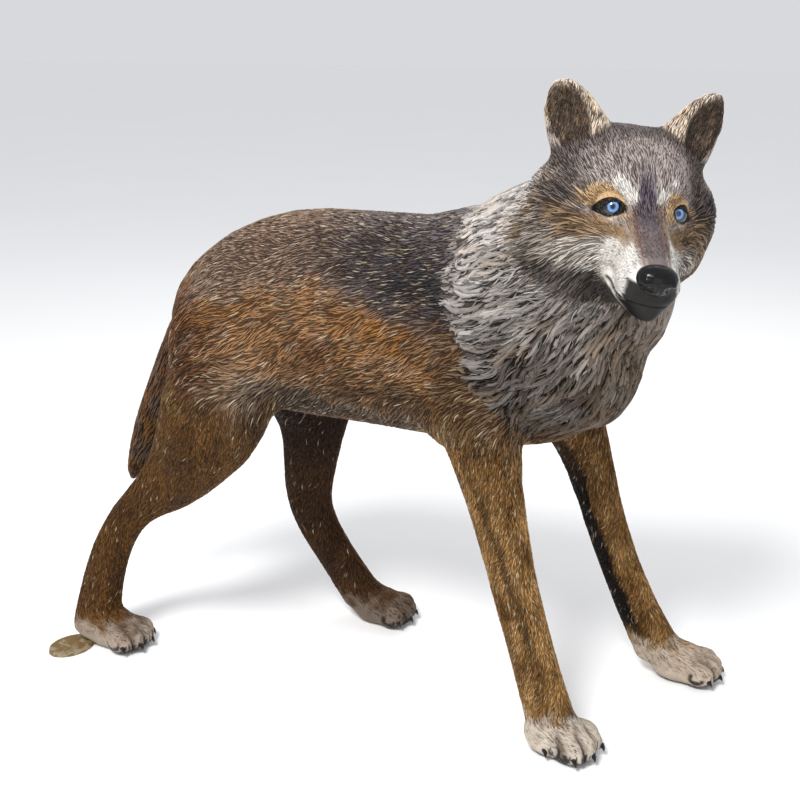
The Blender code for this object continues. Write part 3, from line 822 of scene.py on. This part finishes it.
def lie_of_fur(points, normals, shares, edges):
    """The way the fur lies at each point, along the skin."""
    head, neck, trunk, leg, ear = part_ways(points, normals)
    way = shares["head"][:, None] * head + shares["neck"][:, None] * neck + shares["trunk"][:, None] * trunk
    way = way + leg_share(shares)[:, None] * leg + (shares["ear_left"] + shares["ear_right"])[:, None] * ear
    way = way + shares["tail"][:, None] * (0.0, 0.42, -0.90)
    for _ in range(6):
        way = unit(way - normals * (way * normals).sum(1, keepdims=True))
        way = relaxed(way, edges, 2)
    way = unit(way - normals * (way * normals).sum(1, keepdims=True))
    swirl = 0.20 * ripple(points, 0.11, 21) + 0.16 * ripple(points, 0.045, 22)
    swirl = swirl * (0.35 + 0.65 * (1 - np.clip(shares["head"] * 1.2, 0, 1)))
    return turned(way, normals, swirl[:, None])


def turned(way, normals, angle):
    """Ways turned along the skin by an angle."""
    return way * np.cos(angle) + np.cross(normals, way) * np.sin(angle)


def coat_depth(points, shares):
    """How thick the carved coat is over the skin, in metres."""
    local = in_head(points)
    ruff = ruff_share(points) * np.clip(shares["neck"] + shares["trunk"], 0, 1)
    face = smooth(0.05 - local[:, 1], 0.0, 0.06) * shares["head"]
    depths = {"trunk": 1.6, "head": 2.2, "tail": 2.2, "ear_left": 0.8, "ear_right": 0.8, "neck": 3.0}
    depth = sum(shares[name] * deep * MM for name, deep in depths.items()) + leg_share(shares) * 1.2 * MM
    depth = np.clip(depth + (2.0 * ruff - 1.4 * face) * MM, 0.4 * MM, 5.5 * MM)
    return depth * smooth(points[:, 2], 0.02, 0.09)


# ---------------------------------------------------------------- locks of the carved coat

# Points across a lock: how far out each is and how high
NARROW = ((-1.0, 0.0), (0.0, 1.0), (1.0, 0.0))
BROAD = ((-1.0, 0.0), (-0.66, 0.72), (-0.36, 0.56), (0.0, 1.0), (0.34, 0.62), (0.66, 0.76), (1.0, 0.0))
BAKE_PATCH = 0.0015  # half the side of one lock's patch on the bake layout


def mesh_of(name, points, triangles):
    mesh = bpy.data.meshes.new(name)
    mesh.vertices.add(len(points))
    mesh.vertices.foreach_set("co", points.astype(np.float32).ravel())
    mesh.loops.add(triangles.size)
    mesh.loops.foreach_set("vertex_index", triangles.astype(np.int32).ravel())
    mesh.polygons.add(len(triangles))
    mesh.polygons.foreach_set("loop_start", np.arange(0, triangles.size, 3, dtype=np.int32))
    mesh.update(calc_edges=True)
    mesh.shade_smooth()
    return mesh


def repeated(faces, times, points_each):
    """The triangles of one shape, given again for each of its copies."""
    return (np.array(faces)[None] + (np.arange(times) * points_each)[:, None, None]).reshape(-1, 3)


def lay_out(mesh, point_uvs):
    """Puts each point at its own place on the bake layout."""
    corners = np.empty(len(mesh.loops), np.int32)
    mesh.loops.foreach_get("vertex_index", corners)
    layer = mesh.uv_layers.new(name="OFBake")
    layer.data.foreach_set("uv", point_uvs[corners].astype(np.float32).ravel())


class Skin:
    """What the locks need to know of the skin, by its points and its triangles."""

    def __init__(self, mesh, way, colour, wash):
        self.points, self.normals = coordinates(mesh), normals_of(mesh)
        self.way, self.colour, self.wash = way, colour, wash
        self.tree = kdtree.KDTree(len(self.points))
        for index, point in enumerate(self.points):
            self.tree.insert(point, index)
        self.tree.balance()
        mesh.calc_loop_triangles()
        count = len(mesh.loop_triangles)
        corners, loops = np.empty(count * 3, np.int32), np.empty(count * 3, np.int32)
        mesh.loop_triangles.foreach_get("vertices", corners)
        mesh.loop_triangles.foreach_get("loops", loops)
        self.triangles = corners.reshape(-1, 3)
        flat = np.empty(len(mesh.loops) * 2, np.float32)
        mesh.uv_layers["OFBake"].data.foreach_get("uv", flat)
        self.corner_uvs = flat.reshape(-1, 2)[loops.reshape(-1, 3)]
        a, b, c = (self.points[self.triangles[:, k]] for k in range(3))
        self.areas = np.linalg.norm(np.cross(b - a, c - a), axis=1) / 2

    def scatter(self, spacing, share, dice):
        """Even random places on the skin, about a spacing apart, fewer where the share is below 1."""
        weights = self.areas * share[self.triangles].mean(1)
        number = int(2.6 * weights.sum() / spacing**2)
        chosen = dice.choice(len(weights), number, p=weights / weights.sum())
        mix = dice.dirichlet((1.0, 1.0, 1.0), number)
        places = (self.points[self.triangles[chosen]] * mix[:, :, None]).sum(1)
        uvs = (self.corner_uvs[chosen] * mix[:, :, None]).sum(1)
        kept = np.arange(number)
        for offset in (0.0, 0.5):  # two grids of cells, with one place kept in each cell
            cells = np.floor(places[kept] / spacing + offset).astype(np.int64)
            keys = (cells[:, 0] * 73856093) ^ (cells[:, 1] * 19349663) ^ (cells[:, 2] * 83492791)
            kept = kept[np.unique(keys, return_index=True)[1]]
        return places[kept], uvs[kept]

    def nearest(self, places):
        find = self.tree.find
        return np.fromiter((find(place)[1] for place in places), np.int64, len(places))


def lock_faces(steps, across):
    """The triangles of one lock: its closed foot, its sides and the fan round the point at its tip."""
    faces = [(0, k, k + 1) for k in range(1, across - 1)]
    tip = steps * across
    for k in range(across):
        after = (k + 1) % across
        for here in range(0, tip - across, across):
            there = here + across
            faces += [(here + k, there + after, here + after), (here + k, there + k, there + after)]
        faces.append((tip - across + k, tip, tip - across + after))
    return faces


def make_locks(
    name,
    skin,
    share,
    spacing,
    length,
    width,
    height,
    wave=0.0,
    steps=3,
    fan=NARROW,
    stray=0.10,
    trim=None,
    dark=0.10,
    pale=0.0,
):
    """One mesh of low ridged locks that start where the share is above 0, with sizes in metres.

    wave is how far a lock swings from side to side, in widths, and stray how far its way strays, in
    radians. trim shortens the locks by place. dark is the part of them that keeps the dark wash and
    pale the part that the dry brush caught.
    """
    dice = np.random.default_rng(sum(ord(letter) for letter in name))
    places, uvs = skin.scatter(spacing, share, dice)
    count, across = len(places), len(fan)
    sizes = dice.uniform(0.70, 1.30, count)
    if trim is not None:
        sizes = sizes * trim[skin.nearest(places)]
    widths = width * dice.uniform(0.75, 1.20, count)
    turn = dice.normal(0.0, stray, count)[:, None]
    phase = 3.0 * ripple(places, 0.09, 31) + dice.uniform(-0.3, 0.3, count)
    rings = []
    for step in range(steps + 1):
        t = step / steps
        found = skin.nearest(places)
        normals = skin.normals[found]
        places = places - normals * ((places - skin.points[found]) * normals).sum(1, keepdims=True)
        if step == 1:
            colour, wash = skin.colour[found], skin.wash[found]
            in_wash = dice.uniform(0, 1, count) < dark
            colour = colour * np.where(in_wash, dice.uniform(0.25, 0.55, count), 1.0)[:, None]
            brushed = (dice.uniform(0, 1, count) < pale) * dice.uniform(0.25, 0.60, count)
            colour = over(colour, DRY_BRUSH, brushed)
        way = turned(skin.way[found], normals, turn)
        beside = np.cross(normals, way)
        spine = places + beside * (wave * width * t * np.sin(tau * 0.8 * t + phase))[:, None]
        if step == steps:
            rings.append((spine + normals * height * 0.5 * sizes[:, None])[:, None])
            break
        half = (widths * sin(pi * (0.14 + 0.74 * t)) ** 0.8 / 2)[:, None]
        crest = height * sizes[:, None] * (0.15 if step == 0 else 1.0)
        foot = -height * 0.5 * (1 - t)
        ring = [spine + beside * out * half + normals * (foot + (crest - foot) * up) for out, up in fan]
        rings.append(np.stack(ring, 1))
        places = places + way * (length * sizes / steps)[:, None]

    corners = np.concatenate(rings, 1)
    each = corners.shape[1]
    mesh = mesh_of(name, corners.reshape(-1, 3), repeated(lock_faces(steps, across), count, each))
    rise = np.repeat(np.arange(steps + 1) / steps, [across] * steps + [1])
    out = np.array([place for place, _ in fan] * steps + [0.0])
    ridge = np.array([up for _, up in fan] * steps + [0.85]) * np.minimum(1.0, 0.30 + 2.2 * rise)
    patch = np.stack([out, rise * 2 - 1], 1) * BAKE_PATCH
    lay_out(mesh, (uvs[:, None] + patch[None]).reshape(-1, 2))
    give_numbers(mesh, paint=np.repeat(colour, each, 0), wash=np.repeat(wash, each))
    give_numbers(mesh, tone=np.repeat(dice.uniform(0, 1, count), each), ridge=np.tile(ridge, count))
    give_numbers(mesh, across=np.tile(out, count))
    return new_object(name, mesh)


# ---------------------------------------------------------------- eyes, nose and claws


def make_eye(name, centre, side):
    """A ball with a low clear bulge over the iris, looking where the head's own gaze goes."""
    form = bmesh.new()
    pole_ahead = Matrix.Rotation(radians(90), 4, "X")
    bmesh.ops.create_uvsphere(form, u_segments=64, v_segments=64, radius=1.0, matrix=pole_ahead)
    mesh = bpy.data.meshes.new(name)
    form.to_mesh(mesh)
    form.free()
    mesh.shade_smooth()
    points = coordinates(mesh)
    off = np.arccos(np.clip(-points[:, 1], -1, 1))
    give_numbers(mesh, off=off * EYE_RADIUS, turn=np.arctan2(points[:, 2], points[:, 0]))
    bulge = 1.0 + 0.045 * smooth(0.75 - off, 0.0, 0.45)
    looking = np.array(Euler((-GAZE_UP, 0, GAZE_RIGHT + side * radians(7))).to_matrix())
    move_to(mesh, (points * bulge[:, None] * EYE_RADIUS * 0.985) @ looking.T @ HEAD.T + centre)
    return new_object(name, mesh)


def make_nose():
    """A leathery pad with comma-shaped nostrils and a groove down its middle."""
    mesh = with_modifier(joined(["nose"]), "REMESH", mode="VOXEL", voxel_size=1.1 * MM)
    mesh = with_modifier(mesh, "SMOOTH", factor=0.5, iterations=6)
    local = pushed(in_head(coordinates(mesh)) - NOSE, NOSE_PUSHES)
    groove = np.exp(-((local[:, 0] / 0.0014) ** 2)) * smooth(-local[:, 1], 0.004, 0.010)
    groove = groove * smooth(0.004 - local[:, 2], 0.0, 0.006)
    local = local + groove[:, None] * (0, 0.0018, 0)
    move_to(mesh, from_head(local + NOSE))
    mesh.shade_smooth()
    return new_object("nose_pad", mesh)


def make_claws(skin):
    """A short blunt dark claw on the front of each toe."""
    tree = BVHTree.FromPolygons([Vector(point) for point in skin.points], skin.triangles.tolist())
    sides = 8
    turns = np.linspace(0, -tau, sides + 1)[:-1, None]
    # Rings along a claw: how far out each is, then half its width and half its height
    girths = ((-0.8, 0.0032, 0.0042), (0.15, 0.0032, 0.0042), (0.6, 0.0027, 0.0036), (0.85, 0.0018, 0.0025))
    rings = []
    for (foot_x, foot_y), heading, _, width in PAWS.values():
        for share in TOES:
            fan = heading + share * radians(28)
            way, beside = np.array((sin(fan), -cos(fan), 0.0)), np.array((cos(fan), sin(fan), 0.0))
            out = share * width
            root = np.array((foot_x + out * cos(heading), foot_y + out * sin(heading), 0.0185))
            hit = tree.ray_cast(Vector(root + way * 0.12), Vector(-way))[0]
            if hit is None:
                continue
            hit = np.array(hit)
            for t, wide, tall in girths:
                centre = hit + way * 0.0044 * t - (0, 0, 0.0012 + 0.0070 * max(t, 0) ** 2)
                rings.append(centre + np.cos(turns) * wide * beside + np.sin(turns) * (0, 0, tall))
            rings.append((hit + way * 0.0040 - (0, 0, 0.0096))[None])
    around = lock_faces(len(girths), sides)
    claws = len(rings) // (len(girths) + 1)
    triangles = repeated(around, claws, len(girths) * sides + 1)
    return new_object("claws", mesh_of("claws", np.concatenate(rings), triangles))


# ---------------------------------------------------------------- materials

COLOUR = {"data_type": "RGBA"}
TIMES = {"data_type": "RGBA", "blend_type": "MULTIPLY"}


def add(material, kind, sockets=(), **settings):
    """Adds a node. A socket given as an output, or as a node for its first one, is linked. A value is set."""
    tree = material.node_tree
    made = tree.nodes.new("ShaderNode" + kind)
    for key, value in settings.items():
        setattr(made, key, value)
    for key, value in dict(sockets).items():
        if isinstance(value, bpy.types.Node):
            value = value.outputs[0]
        if isinstance(value, bpy.types.NodeSocket):
            tree.links.new(value, made.inputs[key])
        else:
            made.inputs[key].default_value = value
    return made


def new_material(name):
    material = bpy.data.materials.new(name)
    material.use_nodes = True
    material.node_tree.nodes.clear()
    return material


def rgba(code):
    return (*paint(code), 1.0)


def finished(material, surface):
    """Ends the material with this shader node."""
    add(material, "OutputMaterial", {"Surface": surface})
    return material


def wears(piece, material):
    piece.data.materials.clear()
    piece.data.materials.append(material)


# Cast polyurethane resin, painted by hand in satin acrylics: a dark wash lies in the grooves of the carved
# coat, the crests are dry-brushed paler, and the brush leaves the colour uneven
def painted_resin(name, on_locks):
    material = new_material(name)
    place = add(material, "TexCoord").outputs["Object"]
    colour = add(material, "Attribute", attribute_name="paint")
    ridge = add(material, "Attribute", attribute_name="ridge").outputs["Fac"]
    tone = add(material, "Attribute", attribute_name="tone").outputs["Fac"]
    depth = add(material, "Attribute", attribute_name="wash").outputs["Fac"]
    patches = add(material, "TexNoise", {"Vector": place, "Scale": 1 / (12 * MM), "Detail": 3.0})
    flecks = add(material, "TexNoise", {"Vector": place, "Scale": 1 / (2.2 * MM), "Detail": 2.0})
    uneven = add(material, "Math", {0: patches, 1: tone}, operation="ADD")
    level = add(material, "MapRange", {0: uneven, 1: 0.25, 2: 1.35, 3: 0.52, 4: 1.45})
    level = add(material, "CombineColor", {0: level, 1: level, 2: level})
    toned = add(material, "Mix", {0: 1.0, 6: colour, 7: level}, **TIMES).outputs[2]
    wash = add(material, "Mix", {0: depth, 6: toned, 7: rgba("#3d2f27")}, **TIMES).outputs[2]
    kept = add(material, "Math", {0: flecks, 1: 0.35, 2: ridge}, operation="MULTIPLY_ADD")
    bare = add(material, "MapRange", {0: kept, 1: 0.30, 2: 0.95}, interpolation_type="SMOOTHSTEP")
    washed = add(material, "Mix", {0: bare, 6: wash, 7: toned}, **COLOUR).outputs[2]
    crests = {0: kept, 1: 1.05, 2: 1.30, 3: 0.0, 4: 0.40}
    brushed = add(material, "MapRange", crests, interpolation_type="SMOOTHSTEP")
    pale = add(material, "Mix", {0: 0.55, 6: toned, 7: rgba("#e9e0d2")}, **COLOUR).outputs[2]
    colour = add(material, "Mix", {0: brushed, 6: washed, 7: pale}, **COLOUR).outputs[2]
    grain = add(material, "TexNoise", {"Vector": place, "Scale": 1 / (1.3 * MM), "Detail": 2.0})
    if on_locks:  # hairs cut along each lock
        across = add(material, "Attribute", attribute_name="across").outputs["Fac"]
        bent = add(material, "Math", {0: flecks, 1: 1.2, 2: across}, operation="MULTIPLY_ADD")
        waves = add(material, "Math", {0: bent, 1: 11.0}, operation="MULTIPLY")
        hairs = add(material, "Math", {0: waves}, operation="SINE")
        grain = add(material, "Math", {0: hairs, 1: 0.25, 2: grain}, operation="MULTIPLY_ADD")
    bump = add(material, "Bump", {"Strength": 0.35, "Distance": 0.6 * MM, "Height": grain})
    satin = {"Normal": bump, "Roughness": 0.46, "IOR": 1.45, "Specular IOR Level": 0.12}
    return finished(material, add(material, "BsdfPrincipled", {"Base Color": colour, **satin}))


# Painted eye under clear gloss resin: a pale blue iris with a dark edge, round a black pupil, on a black ball
def glass_eye(name):
    material = new_material(name)
    off = add(material, "Attribute", attribute_name="off").outputs["Fac"]
    turn = add(material, "Attribute", attribute_name="turn").outputs["Fac"]
    share = add(material, "MapRange", {0: off, 1: 0.0, 2: IRIS_RADIUS * 1.25})
    ramp = add(material, "ValToRGB", {"Fac": share})
    pupil = PUPIL_RADIUS / IRIS_RADIUS
    stops = ((0.0, "#050506"), (pupil * 0.76, "#07080a"), (pupil * 0.86, "#3a5c90"), (0.55, "#6f98c8"))
    stops += ((0.68, "#4b74ad"), (0.77, "#223a63"), (0.83, "#0a0c12"), (1.0, "#060506"))
    for index, (at, code) in enumerate(stops):
        stop = ramp.color_ramp.elements[index] if index < 2 else ramp.color_ramp.elements.new(at)
        stop.position, stop.color = at, rgba(code)
    spokes = add(material, "Math", {0: turn, 1: 6.0}, operation="MULTIPLY")
    outward = add(material, "Math", {0: off, 1: 120.0}, operation="MULTIPLY")
    place = add(material, "CombineXYZ", {0: spokes, 1: outward})
    streaks = add(material, "TexNoise", {"Vector": place, "Scale": 1.6, "Detail": 3.0})
    light = add(material, "MapRange", {0: streaks, 1: 0.3, 2: 0.7, 3: 0.72, 4: 1.2})
    light = add(material, "CombineColor", {0: light, 1: light, 2: light})
    colour = add(material, "Mix", {0: 1.0, 6: ramp, 7: light}, **TIMES).outputs[2]
    gloss = {"Roughness": 0.10, "IOR": 1.50, "Coat Weight": 0.6, "Coat Roughness": 0.04}
    return finished(material, add(material, "BsdfPrincipled", {"Base Color": colour, **gloss}))


# Resin painted gloss black: the pad is pebbled like wet leather and takes small bright reflections
def gloss_black(name, pebble, roughness):
    material = new_material(name)
    place = add(material, "TexCoord").outputs["Object"]
    cells = add(material, "TexVoronoi", {"Vector": place, "Scale": 1 / pebble})
    patches = add(material, "TexNoise", {"Vector": place, "Scale": 1 / (6 * MM), "Detail": 2.0})
    colour = add(material, "Mix", {0: patches, 6: rgba("#040405"), 7: rgba("#100f10")}, **COLOUR).outputs[2]
    bump = add(material, "Bump", {"Strength": 0.35, "Distance": pebble / 4, "Height": cells}, invert=True)
    gloss = {"Normal": bump, "Roughness": roughness, "IOR": 1.50, "Specular IOR Level": 0.28}
    return finished(material, add(material, "BsdfPrincipled", {"Base Color": colour, **gloss}))


# Steel plate under ochre paint: the paint is worn pale in blotches and the plate's face shows no bare metal
def worn_paint(name):
    material = new_material(name)
    place = add(material, "TexCoord").outputs["Object"]
    patches = add(material, "TexNoise", {"Vector": place, "Scale": 1 / (14 * MM), "Detail": 4.0})
    worn = add(material, "MapRange", {0: patches, 1: 0.48, 2: 0.62}, interpolation_type="SMOOTHSTEP")
    colour = add(material, "Mix", {0: worn, 6: rgba("#6e5426"), 7: rgba("#8d8268")}, **COLOUR).outputs[2]
    bump = add(material, "Bump", {"Strength": 0.3, "Distance": 0.4 * MM, "Height": patches})
    matt = {"Normal": bump, "Roughness": 0.55, "IOR": 1.48}
    return finished(material, add(material, "BsdfPrincipled", {"Base Color": colour, **matt}))


# Seamless studio paper: matt, with a faint uneven tone
def matt_paper(name):
    material = new_material(name)
    place = add(material, "TexCoord").outputs["Object"]
    cloud = add(material, "TexNoise", {"Vector": place, "Scale": 1.5})
    tint = add(material, "Mix", {0: cloud, 6: rgba("#fdfcfb"), 7: rgba("#ffffff")}, **COLOUR).outputs[2]
    return finished(material, add(material, "BsdfPrincipled", {"Base Color": tint, "Roughness": 0.9}))


# ---------------------------------------------------------------- the statue


def unwrap(made):
    made.data.uv_layers.new(name="OFBake")
    bpy.context.view_layer.objects.active = made
    made.select_set(True)
    bpy.ops.object.mode_set(mode="EDIT")
    bpy.ops.mesh.select_all(action="SELECT")
    bpy.ops.uv.smart_project(angle_limit=radians(66), island_margin=0.002)
    bpy.ops.object.mode_set(mode="OBJECT")
    made.select_set(False)


skin_mesh = make_skin()
points, normals, edges = coordinates(skin_mesh), normals_of(skin_mesh), edges_of(skin_mesh)
shares = owner_shares(points, edges)
way = lie_of_fur(points, normals, shares, edges)
local, height = in_head(points), points[:, 2]
on_head, on_ear, on_leg = shares["head"], shares["ear_left"] + shares["ear_right"], leg_share(shares)
on_ruff = ruff_share(points)
hollow = hollow_share(points, normals) * smooth(on_ear, 0.1, 0.3)
from_muzzle = np.linalg.norm((local - (0, -0.080, -0.055)) / (1, 1.4, 1), axis=1)
muzzle = smooth(0.075 - from_muzzle, 0.0, 0.02) * on_head
eye_gap = eye_distance(points) - EYE_RADIUS
at_nose = near(local, NOSE, (0.026, 0.020, 0.022))
lips = line_distance(local, MOUTH)
colour = whole_paint(points, normals, shares, hollow)

# The skin lies under the coat by its depth, and is sunk round the nose and along the line of the lips
depth = coat_depth(points, shares) * smooth(eye_gap, 0.004, 0.012)
depth = depth + 0.0025 * smooth(at_nose, 0.35, 0.6) + 0.0020 * np.exp(-((lips / 0.0011) ** 2))
move_to(skin_mesh, points - normals * depth[:, None])
skin_mesh.shade_smooth()

# How deep the dark wash lies, and where the skin is bare of carving and so keeps its own colour
on_paw = smooth(PAW_TOP - height, 0.0, 0.02)
bare = np.clip(np.maximum.reduce([muzzle * 0.85, hollow, on_paw, smooth(0.010 - eye_gap, 0, 0.006)]), 0, 1)
wash = 0.78 - 0.10 * on_head + 0.13 * on_ruff - 0.14 * on_leg - 0.35 * smooth(0.08 - height, 0, 0.03)
# the wash lies deeper low on the ruff: partly the paint's own wash, partly painted shade
wash = wash + 0.10 * on_ruff * smooth(0.62 - height, 0.0, 0.12)
mid_face = on_head * smooth(0.045 - np.abs(local[:, 0] - FACE_X), 0.0, 0.02)
wash = wash * (1 - 0.45 * mid_face * smooth(colour.mean(1), 0.30, 0.55))
give_numbers(skin_mesh, paint=colour, ridge=0.15 + 0.75 * bare, tone=np.full(len(points), 0.5), wash=wash)
skin_piece = new_object("skin", skin_mesh)
unwrap(skin_piece)
skin = Skin(skin_mesh, way, colour, wash)

# Where each piece of the coat grows
ruff = on_ruff * smooth(shares["neck"] + shares["trunk"] - on_head, 0.3, 0.7)
cheek = smooth(np.abs(local[:, 0]), 0.040, 0.052) * smooth(0.020 - local[:, 2], 0.0, 0.02) * on_head
near_eye = smooth(0.024 - eye_gap, 0.0, 0.010)
clear = smooth(almond(local), 1.16, 1.30) * (1 - smooth(lip_share(local), 0.3, 0.6))
clear = clear * (1 - smooth(at_nose, 0.15, 0.3)) * smooth(lips, 0.0020, 0.0035)
off_muzzle = clear * (1 - muzzle)
crown = on_head * (1 - cheek) ** 2 * (1 - muzzle) * (1 - near_eye)
body = np.clip(shares["trunk"] + shares["neck"], 0, 1) * (1 - ruff)
back = body * smooth(height + 0.010 * ripple(points, 0.05, 40), 0.615, 0.640)
belly = body * smooth(0.475 - height, 0.0, 0.02) * smooth(0.24 - np.abs(points[:, 1]), 0.0, 0.04)
flank = body * (1 - back) * (1 - belly)
fore_share = smooth(-points[:, 1], 0.03, 0.06)
leg = on_leg * (1 - on_paw) * (1 - ruff)
left = smooth(points[:, 0] - MIDDLE_X, -0.002, 0.002)

# Locks are shorter at the edges of the ruff, the lips, the eyes and the tail's tip
short_ruff = 0.28 + 0.72 * smooth(ruff_edge(height) - points[:, 1], -0.005, 0.060)
short_face = (0.15 + 0.85 * smooth(lips, 0.002, 0.018)) * (0.45 + 0.55 * smooth(eye_gap, 0.004, 0.020))
short_tail = 0.25 + 0.75 * smooth(height, 0.245, 0.300)
broad = {"wave": 0.55, "steps": 7, "fan": BROAD, "stray": 0.18, "trim": short_ruff, "dark": 0.18}
fine = {"wave": 0.7, "steps": 5, "stray": 0.24, "trim": short_ruff, "dark": 0.36}
shaggy = {"wave": 0.3, "steps": 4, "stray": 0.09, "trim": short_face, "dark": 0.50}
sleek = {"wave": 0.3, "stray": 0.14, "dark": 0.18, "pale": 0.07}
cropped = {"wave": 0.4, "steps": 2, "stray": 0.22, "dark": 0.18}
# Each piece: its name, where it grows, then in mm how far apart its locks are and how long, wide and high,
# and how they are cut
pieces = [
    ("muzzle", clear * muzzle, 1.7, (6.0, 1.3, 0.4), {"stray": 0.15, "trim": short_face}),
    ("eyes", off_muzzle * near_eye, 1.7, (7.5, 1.4, 0.5), {"trim": short_face}),
    ("cheeks", off_muzzle * cheek * (1 - near_eye), 3.6, (24, 2.8, 1.6), shaggy),
    ("crown", clear * crown, 2.6, (12, 2.0, 0.8), {"trim": short_face, "dark": 0.12}),
    ("ears", on_ear * (1 - 0.45 * hollow), 2.5, (9.0, 1.8, 0.7), {"dark": 0.20}),
    ("ruff", ruff, 9.8, (38, 7.8, 4.4), broad),
    ("ruff_fine", ruff, 6.0, (25, 3.4, 4.0), fine),
    ("back", back, 3.6, (13, 2.8, 1.3), {"wave": 0.2, "dark": 0.18, "pale": 0.16}),
    ("belly", belly, 4.4, (22, 3.4, 1.8), {"wave": 0.3, "dark": 0.30, "pale": 0.12}),
    ("paws", on_paw * smooth(height, 0.024, 0.034), 3.2, (8.5, 1.8, 0.4), {"steps": 2}),
    ("tail", shares["tail"], 5.0, (26, 4.2, 2.2), {"wave": 0.4, "trim": short_tail}),
]
for side, on_side in (("left", left), ("right", 1 - left)):
    fore_leg, hind_leg = leg * fore_share * on_side, leg * (1 - fore_share) * on_side
    pieces += [
        ("flank_" + side, flank * on_side, 4.2, (20, 3.2, 1.4), sleek),
        ("leg_front_" + side, fore_leg, 3.1, (12.5, 2.8, 1.0), {**cropped, "pale": 0.05}),
        ("leg_hind_" + side, hind_leg, 3.5, (13.5, 3.0, 1.0), {**cropped, "pale": 0.02}),
    ]
coat = [
    make_locks("coat_" + name, skin, share, apart * MM, *(size * MM for size in sizes), **cut)
    for name, share, apart, sizes, cut in pieces
]

eyes = [make_eye("glass_eye_left", LEFT_EYE, 1), make_eye("glass_eye_right", RIGHT_EYE, -1)]
nose_pad = make_nose()
claws = make_claws(skin)

wears(skin_piece, painted_resin("painted_resin_skin", False))
lock_resin = painted_resin("painted_resin_locks", True)
for piece in coat:
    wears(piece, lock_resin)
eye_gloss = glass_eye("painted_eye_under_gloss")
for piece in eyes:
    wears(piece, eye_gloss)
wears(nose_pad, gloss_black("gloss_black_resin", 1.2 * MM, 0.13))
wears(claws, gloss_black("black_painted_claws", 0.8 * MM, 0.40))
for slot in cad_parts["anchor_tab"].material_slots:
    slot.material = worn_paint("worn_ochre_paint")

for piece in [skin_piece, *coat, claws]:
    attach(piece, "root")
for piece in eyes:
    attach(piece, "root")
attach(nose_pad, "root")
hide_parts(*FLESH)
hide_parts("eye_left")
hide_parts("eye_right")
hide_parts("nose")


# ---------------------------------------------------------------- floor, light and camera

FLOOR_REACH = 30.0
FLOOR_DROP = 0.5 * MM  # below the soles, so that the two never flicker together

corners = FLOOR_REACH * np.array([(-1, -1, 0), (1, -1, 0), (1, 1, 0), (-1, 1, 0)])
floor = new_object("floor", mesh_of("floor", corners, np.array([(0, 1, 2), (0, 2, 3)])))
floor.location.z = -FLOOR_DROP
wears(floor, matt_paper("matt_white_paper"))


def area_light(name, place, size, power):
    """A round softbox, aimed at the middle of the statue."""
    lamp = bpy.data.lights.new(name, "AREA")
    lamp.shape, lamp.size, lamp.energy = "DISK", size, power
    made = new_object(name, lamp)
    made.location = place
    made.rotation_euler = (Vector((0.0, 0.0, 0.5)) - Vector(place)).to_track_quat("-Z", "Y").to_euler()


area_light("key_softbox", (-2.3, 0.1, 3.2), 1.1, 120)
area_light("fill_softbox", (-2.6, -2.4, 1.4), 2.2, 8)
area_light("back_softbox", (2.2, 0.2, 2.4), 1.8, 13)

world = bpy.data.worlds.new("studio")
bpy.context.scene.world = world
world.use_nodes = True
backdrop = world.node_tree.nodes["Background"]
backdrop.inputs["Color"].default_value = rgba("#f9fbff")
backdrop.inputs["Strength"].default_value = 0.72

lens = bpy.data.cameras.new("camera")
lens.lens, lens.sensor_width = CAMERA_LENS, 36.0
camera = new_object("camera", lens)
camera.location = CAMERA_PLACE
camera.rotation_euler = (radians(90) - CAMERA_DOWN, 0.0, CAMERA_TURN)
bpy.context.scene.camera = camera
bpy.context.scene.view_settings.view_transform = "Standard"

bpy.context.view_layer.update()
